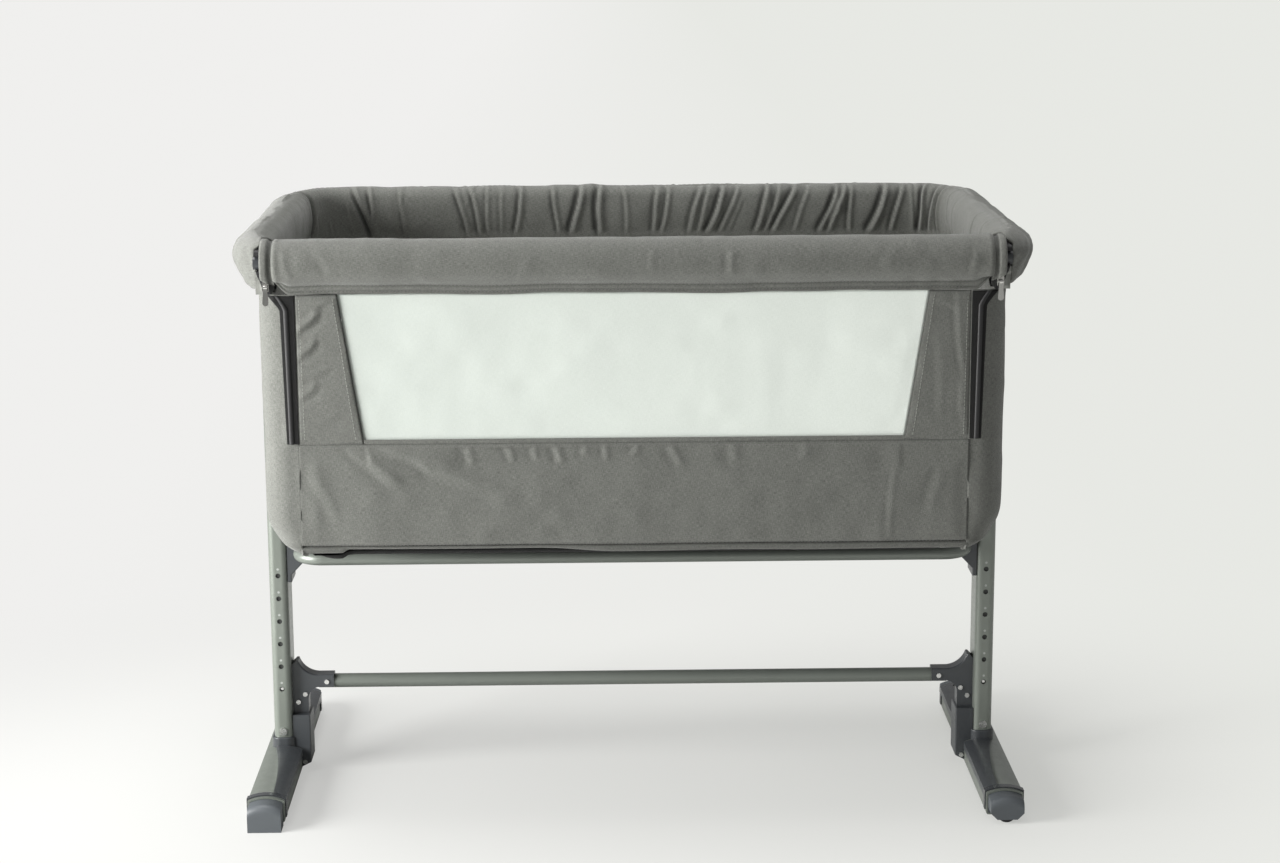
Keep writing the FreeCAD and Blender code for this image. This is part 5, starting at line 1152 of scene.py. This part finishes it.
def makeMattress():
    hx, hy = mattress["half"]
    bend, low = mattress["corner"], mattress["low"]
    outline = []
    for cx, cy, start in ((hx - bend, hy - bend, 0), (bend - hx, hy - bend, 1),
                          (bend - hx, bend - hy, 2), (hx - bend, bend - hy, 3)):
        for a in np.linspace(0, math.pi / 2, 14, endpoint=False) + start * math.pi / 2:
            outline.append((cx + bend * math.cos(a), cy + bend * math.sin(a)))
    ring = spline(np.array(outline), 200)
    tall = mattress["side"]
    rows = []
    for share, z in ((0.02, 0), (0.3, 0), (0.6, 0), (0.85, 0), (0.97, 0.0005), (1.0, 0.2),
                     (1.0, 0.5), (1.0, 0.8), (0.985, 0.96), (0.95, 1.0)):
        rows.append([(x * share, y * share, low + tall * z) for x, y in ring])
    for share in np.linspace(0.92, 0.02, 40):
        rows.append([(x * share, y * share, low + tall) for x, y in ring])
    grid = np.array(rows)
    piece = sewn("mattress_pad", grid, mattressCotton, "basket", closed=True,
                 flip=True)
    mesh = piece.data
    # the innermost rings are closed over, above and below
    filled = bmesh.new()
    filled.from_mesh(mesh)
    openEdges = [edge for edge in filled.edges if edge.is_boundary]
    bmesh.ops.holes_fill(filled, edges=openEdges, sides=0)
    bmesh.ops.recalc_face_normals(filled, faces=filled.faces)
    filled.to_mesh(mesh)
    filled.free()
    start = np.array([v.co for v in mesh.vertices])
    scene = bpy.context.scene
    cloth = piece.modifiers.new("swell", "CLOTH")
    cloth.settings.use_pressure = True
    cloth.settings.uniform_pressure_force = mattress["pressure"]
    cloth.settings.effector_weights.gravity = 0
    cloth.settings.quality = 4
    cloth.point_cache.frame_end = mattress["frames"]
    for number in range(1, mattress["frames"] + 1):
        scene.frame_set(number)
    shaped = piece.evaluated_get(bpy.context.evaluated_depsgraph_get()).to_mesh()
    moved = np.array([v.co for v in shaped.vertices]) - start
    piece.modifiers.remove(cloth)
    scene.frame_set(1)
    far = np.linalg.norm(moved, axis=1, keepdims=True)
    start = start + moved * np.minimum(1, mattress["most"] / np.maximum(far, 1e-9))
    # flat where it lies on the board, crowned above, sewn down along the channels
    x, y, z = start.T
    top = smooth((z - low - tall * 0.6) / (tall * 0.3))
    dome = 1 - (np.abs(y) / hy) ** 2.4
    z = z + mattress["crown"] * np.clip(dome, 0, 1) * top * smooth((hx - np.abs(x)) / 0.05)
    nearest = np.abs(x / mattress["pitch"] - np.round(x / mattress["pitch"])) * mattress["pitch"]
    z = z - mattress["channel"] * top * hump(nearest, 0.006)
    z = z + 0.0012 * softNoise(x, y, 0.035, 91) * top
    mostX, mostY, mostZ = mattress["space"]
    x, y, z = np.clip(x, -mostX, mostX), np.clip(y, -mostY, mostY), np.clip(z, low, mostZ)
    mesh.vertices.foreach_set("co", np.stack([x, y, z], axis=1).astype(np.float32).ravel())
    mesh.update()
    finer = piece.modifiers.new("finer", "SUBSURF")
    finer.levels = finer.render_levels = 1
    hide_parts("mattress")


makeMattress()
print("mattress filled")


# printed marks above the locking holes

marks = {"first": 0.1125, "pitch": 0.03, "count": 6, "x": 0.45, "face": -0.0251,
         "radius": 0.0015, "above": 0.0085}


def makeMarks():
    corners, faces = [], []
    for side in (-1, 1):
        for step in range(marks["count"]):
            z = marks["first"] + marks["pitch"] * step + marks["above"]
            first = len(corners)
            for a in np.linspace(0, 2 * math.pi, 16, endpoint=False):
                corners.append((marks["x"] * side + marks["radius"] * math.cos(a), marks["face"],
                                z + marks["radius"] * math.sin(a)))
            faces.append(list(range(first, first + 16)))
    mesh = bpy.data.meshes.new("height_marks")
    mesh.from_pydata(corners, [], faces)
    mesh.uv_layers.new(name="print")
    mesh.materials.append(printInk)
    piece = placed("height_marks", mesh)
    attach(piece, "stand")


makeMarks()
print("marks printed")


# floor, world and lamps

room = {
    "left": (0.48, 0.485, 0.475), "right": (0.80, 0.805, 0.785), "ambient": 0.36,
    "farLeft": (0.872, 0.868, 0.855), "farRight": (0.80, 0.81, 0.775), "kept": 0.48,
    "reach": 70,
}


def makeRoom():
    mesh = bpy.data.meshes.new("floor")
    ring = [(room["reach"] * math.cos(a), room["reach"] * math.sin(a), 0)
            for a in np.linspace(0, 2 * math.pi, 64, endpoint=False)]
    mesh.from_pydata(ring, [], [list(range(64))])
    mesh.uv_layers.new(name="floor")
    placed("floor", mesh)
    material, tree, shader = startMaterial("paleFloor", {
        "Roughness": 0.9, "Specular IOR Level": 0.1})
    place = add(tree, "TexCoord").outputs["Object"]
    parts = add(tree, "SeparateXYZ")
    join(tree, place, parts.inputs[0])
    across = add(tree, "MapRange", {"From Min": -0.9, "From Max": 0.9})
    join(tree, parts.outputs["X"], across.inputs["Value"])
    cloudy = noiseOf(tree, scaled(tree, place, 0.7, 0.7, 1), 2.0)
    uneven = calc(tree, "MULTIPLY_ADD", calc(tree, "SUBTRACT", cloudy, 0.5), 0.06)
    join(tree, across.outputs["Result"], uneven.node.inputs[2])
    join(tree, blendColors(tree, uneven, (*room["left"], 1), (*room["right"], 1)),
         shader.inputs["Base Color"])
    # away from the crib the camera sees the even studio ground, near it the shadows too
    ground = add(tree, "Emission")
    join(tree, blendColors(tree, uneven, (*room["farLeft"], 1), (*room["farRight"], 1)),
         ground.inputs["Color"])
    away = add(tree, "VectorMath", operation="LENGTH")
    join(tree, scaled(tree, place, 0.8, 1.15, 0), away.inputs[0])
    fade = add(tree, "MapRange", {"From Min": 0.35, "From Max": 1.15, "To Min": 1 - room["kept"],
                                  "To Max": 1.0}, interpolation_type="SMOOTHSTEP")
    join(tree, away.outputs["Value"], fade.inputs["Value"])
    seen = calc(tree, "MULTIPLY", fade.outputs["Result"],
                add(tree, "LightPath").outputs["Is Camera Ray"])
    mixer = add(tree, "MixShader")
    join(tree, seen, mixer.inputs[0])
    join(tree, shader.outputs["BSDF"], mixer.inputs[1])
    join(tree, ground.outputs[0], mixer.inputs[2])
    output = next(node for node in tree.nodes if node.type == "OUTPUT_MATERIAL")
    join(tree, mixer.outputs[0], output.inputs["Surface"])
    mesh.materials.append(material)

    world = bpy.data.worlds.new("world")
    bpy.context.scene.world = world
    world.use_nodes = True
    tree = world.node_tree
    tree.nodes.clear()
    light = add(tree, "Background", {"Color": (1, 1, 0.99, 1), "Strength": room["ambient"]})
    join(tree, light.outputs[0], add(tree, "OutputWorld").inputs["Surface"])


lamps = (
    {"name": "softbox_left", "place": (-1.85, -0.82, 0.78), "aim": (-0.05, 0, 0.5),
     "size": (1.1, 1.0), "power": 92},
    {"name": "softbox_top", "place": (-0.4, 0.2, 3.0), "aim": (0, 0, 0.4),
     "size": (2.2, 1.6), "power": 66},
)


def makeLamps():
    for lamp in lamps:
        data = bpy.data.lights.new(lamp["name"], "AREA")
        data.shape = "RECTANGLE"
        data.size, data.size_y = lamp["size"]
        data.energy = lamp["power"]
        data.color = (1, 0.995, 0.98)
        thing = placed(lamp["name"], data)
        thing.location = lamp["place"]
        ahead = Vector(lamp["aim"]) - Vector(lamp["place"])
        thing.rotation_euler = ahead.to_track_quat("-Z", "Y").to_euler()


makeRoom()
makeLamps()
bpy.context.scene.view_settings.view_transform = "Standard"
print("room lit")
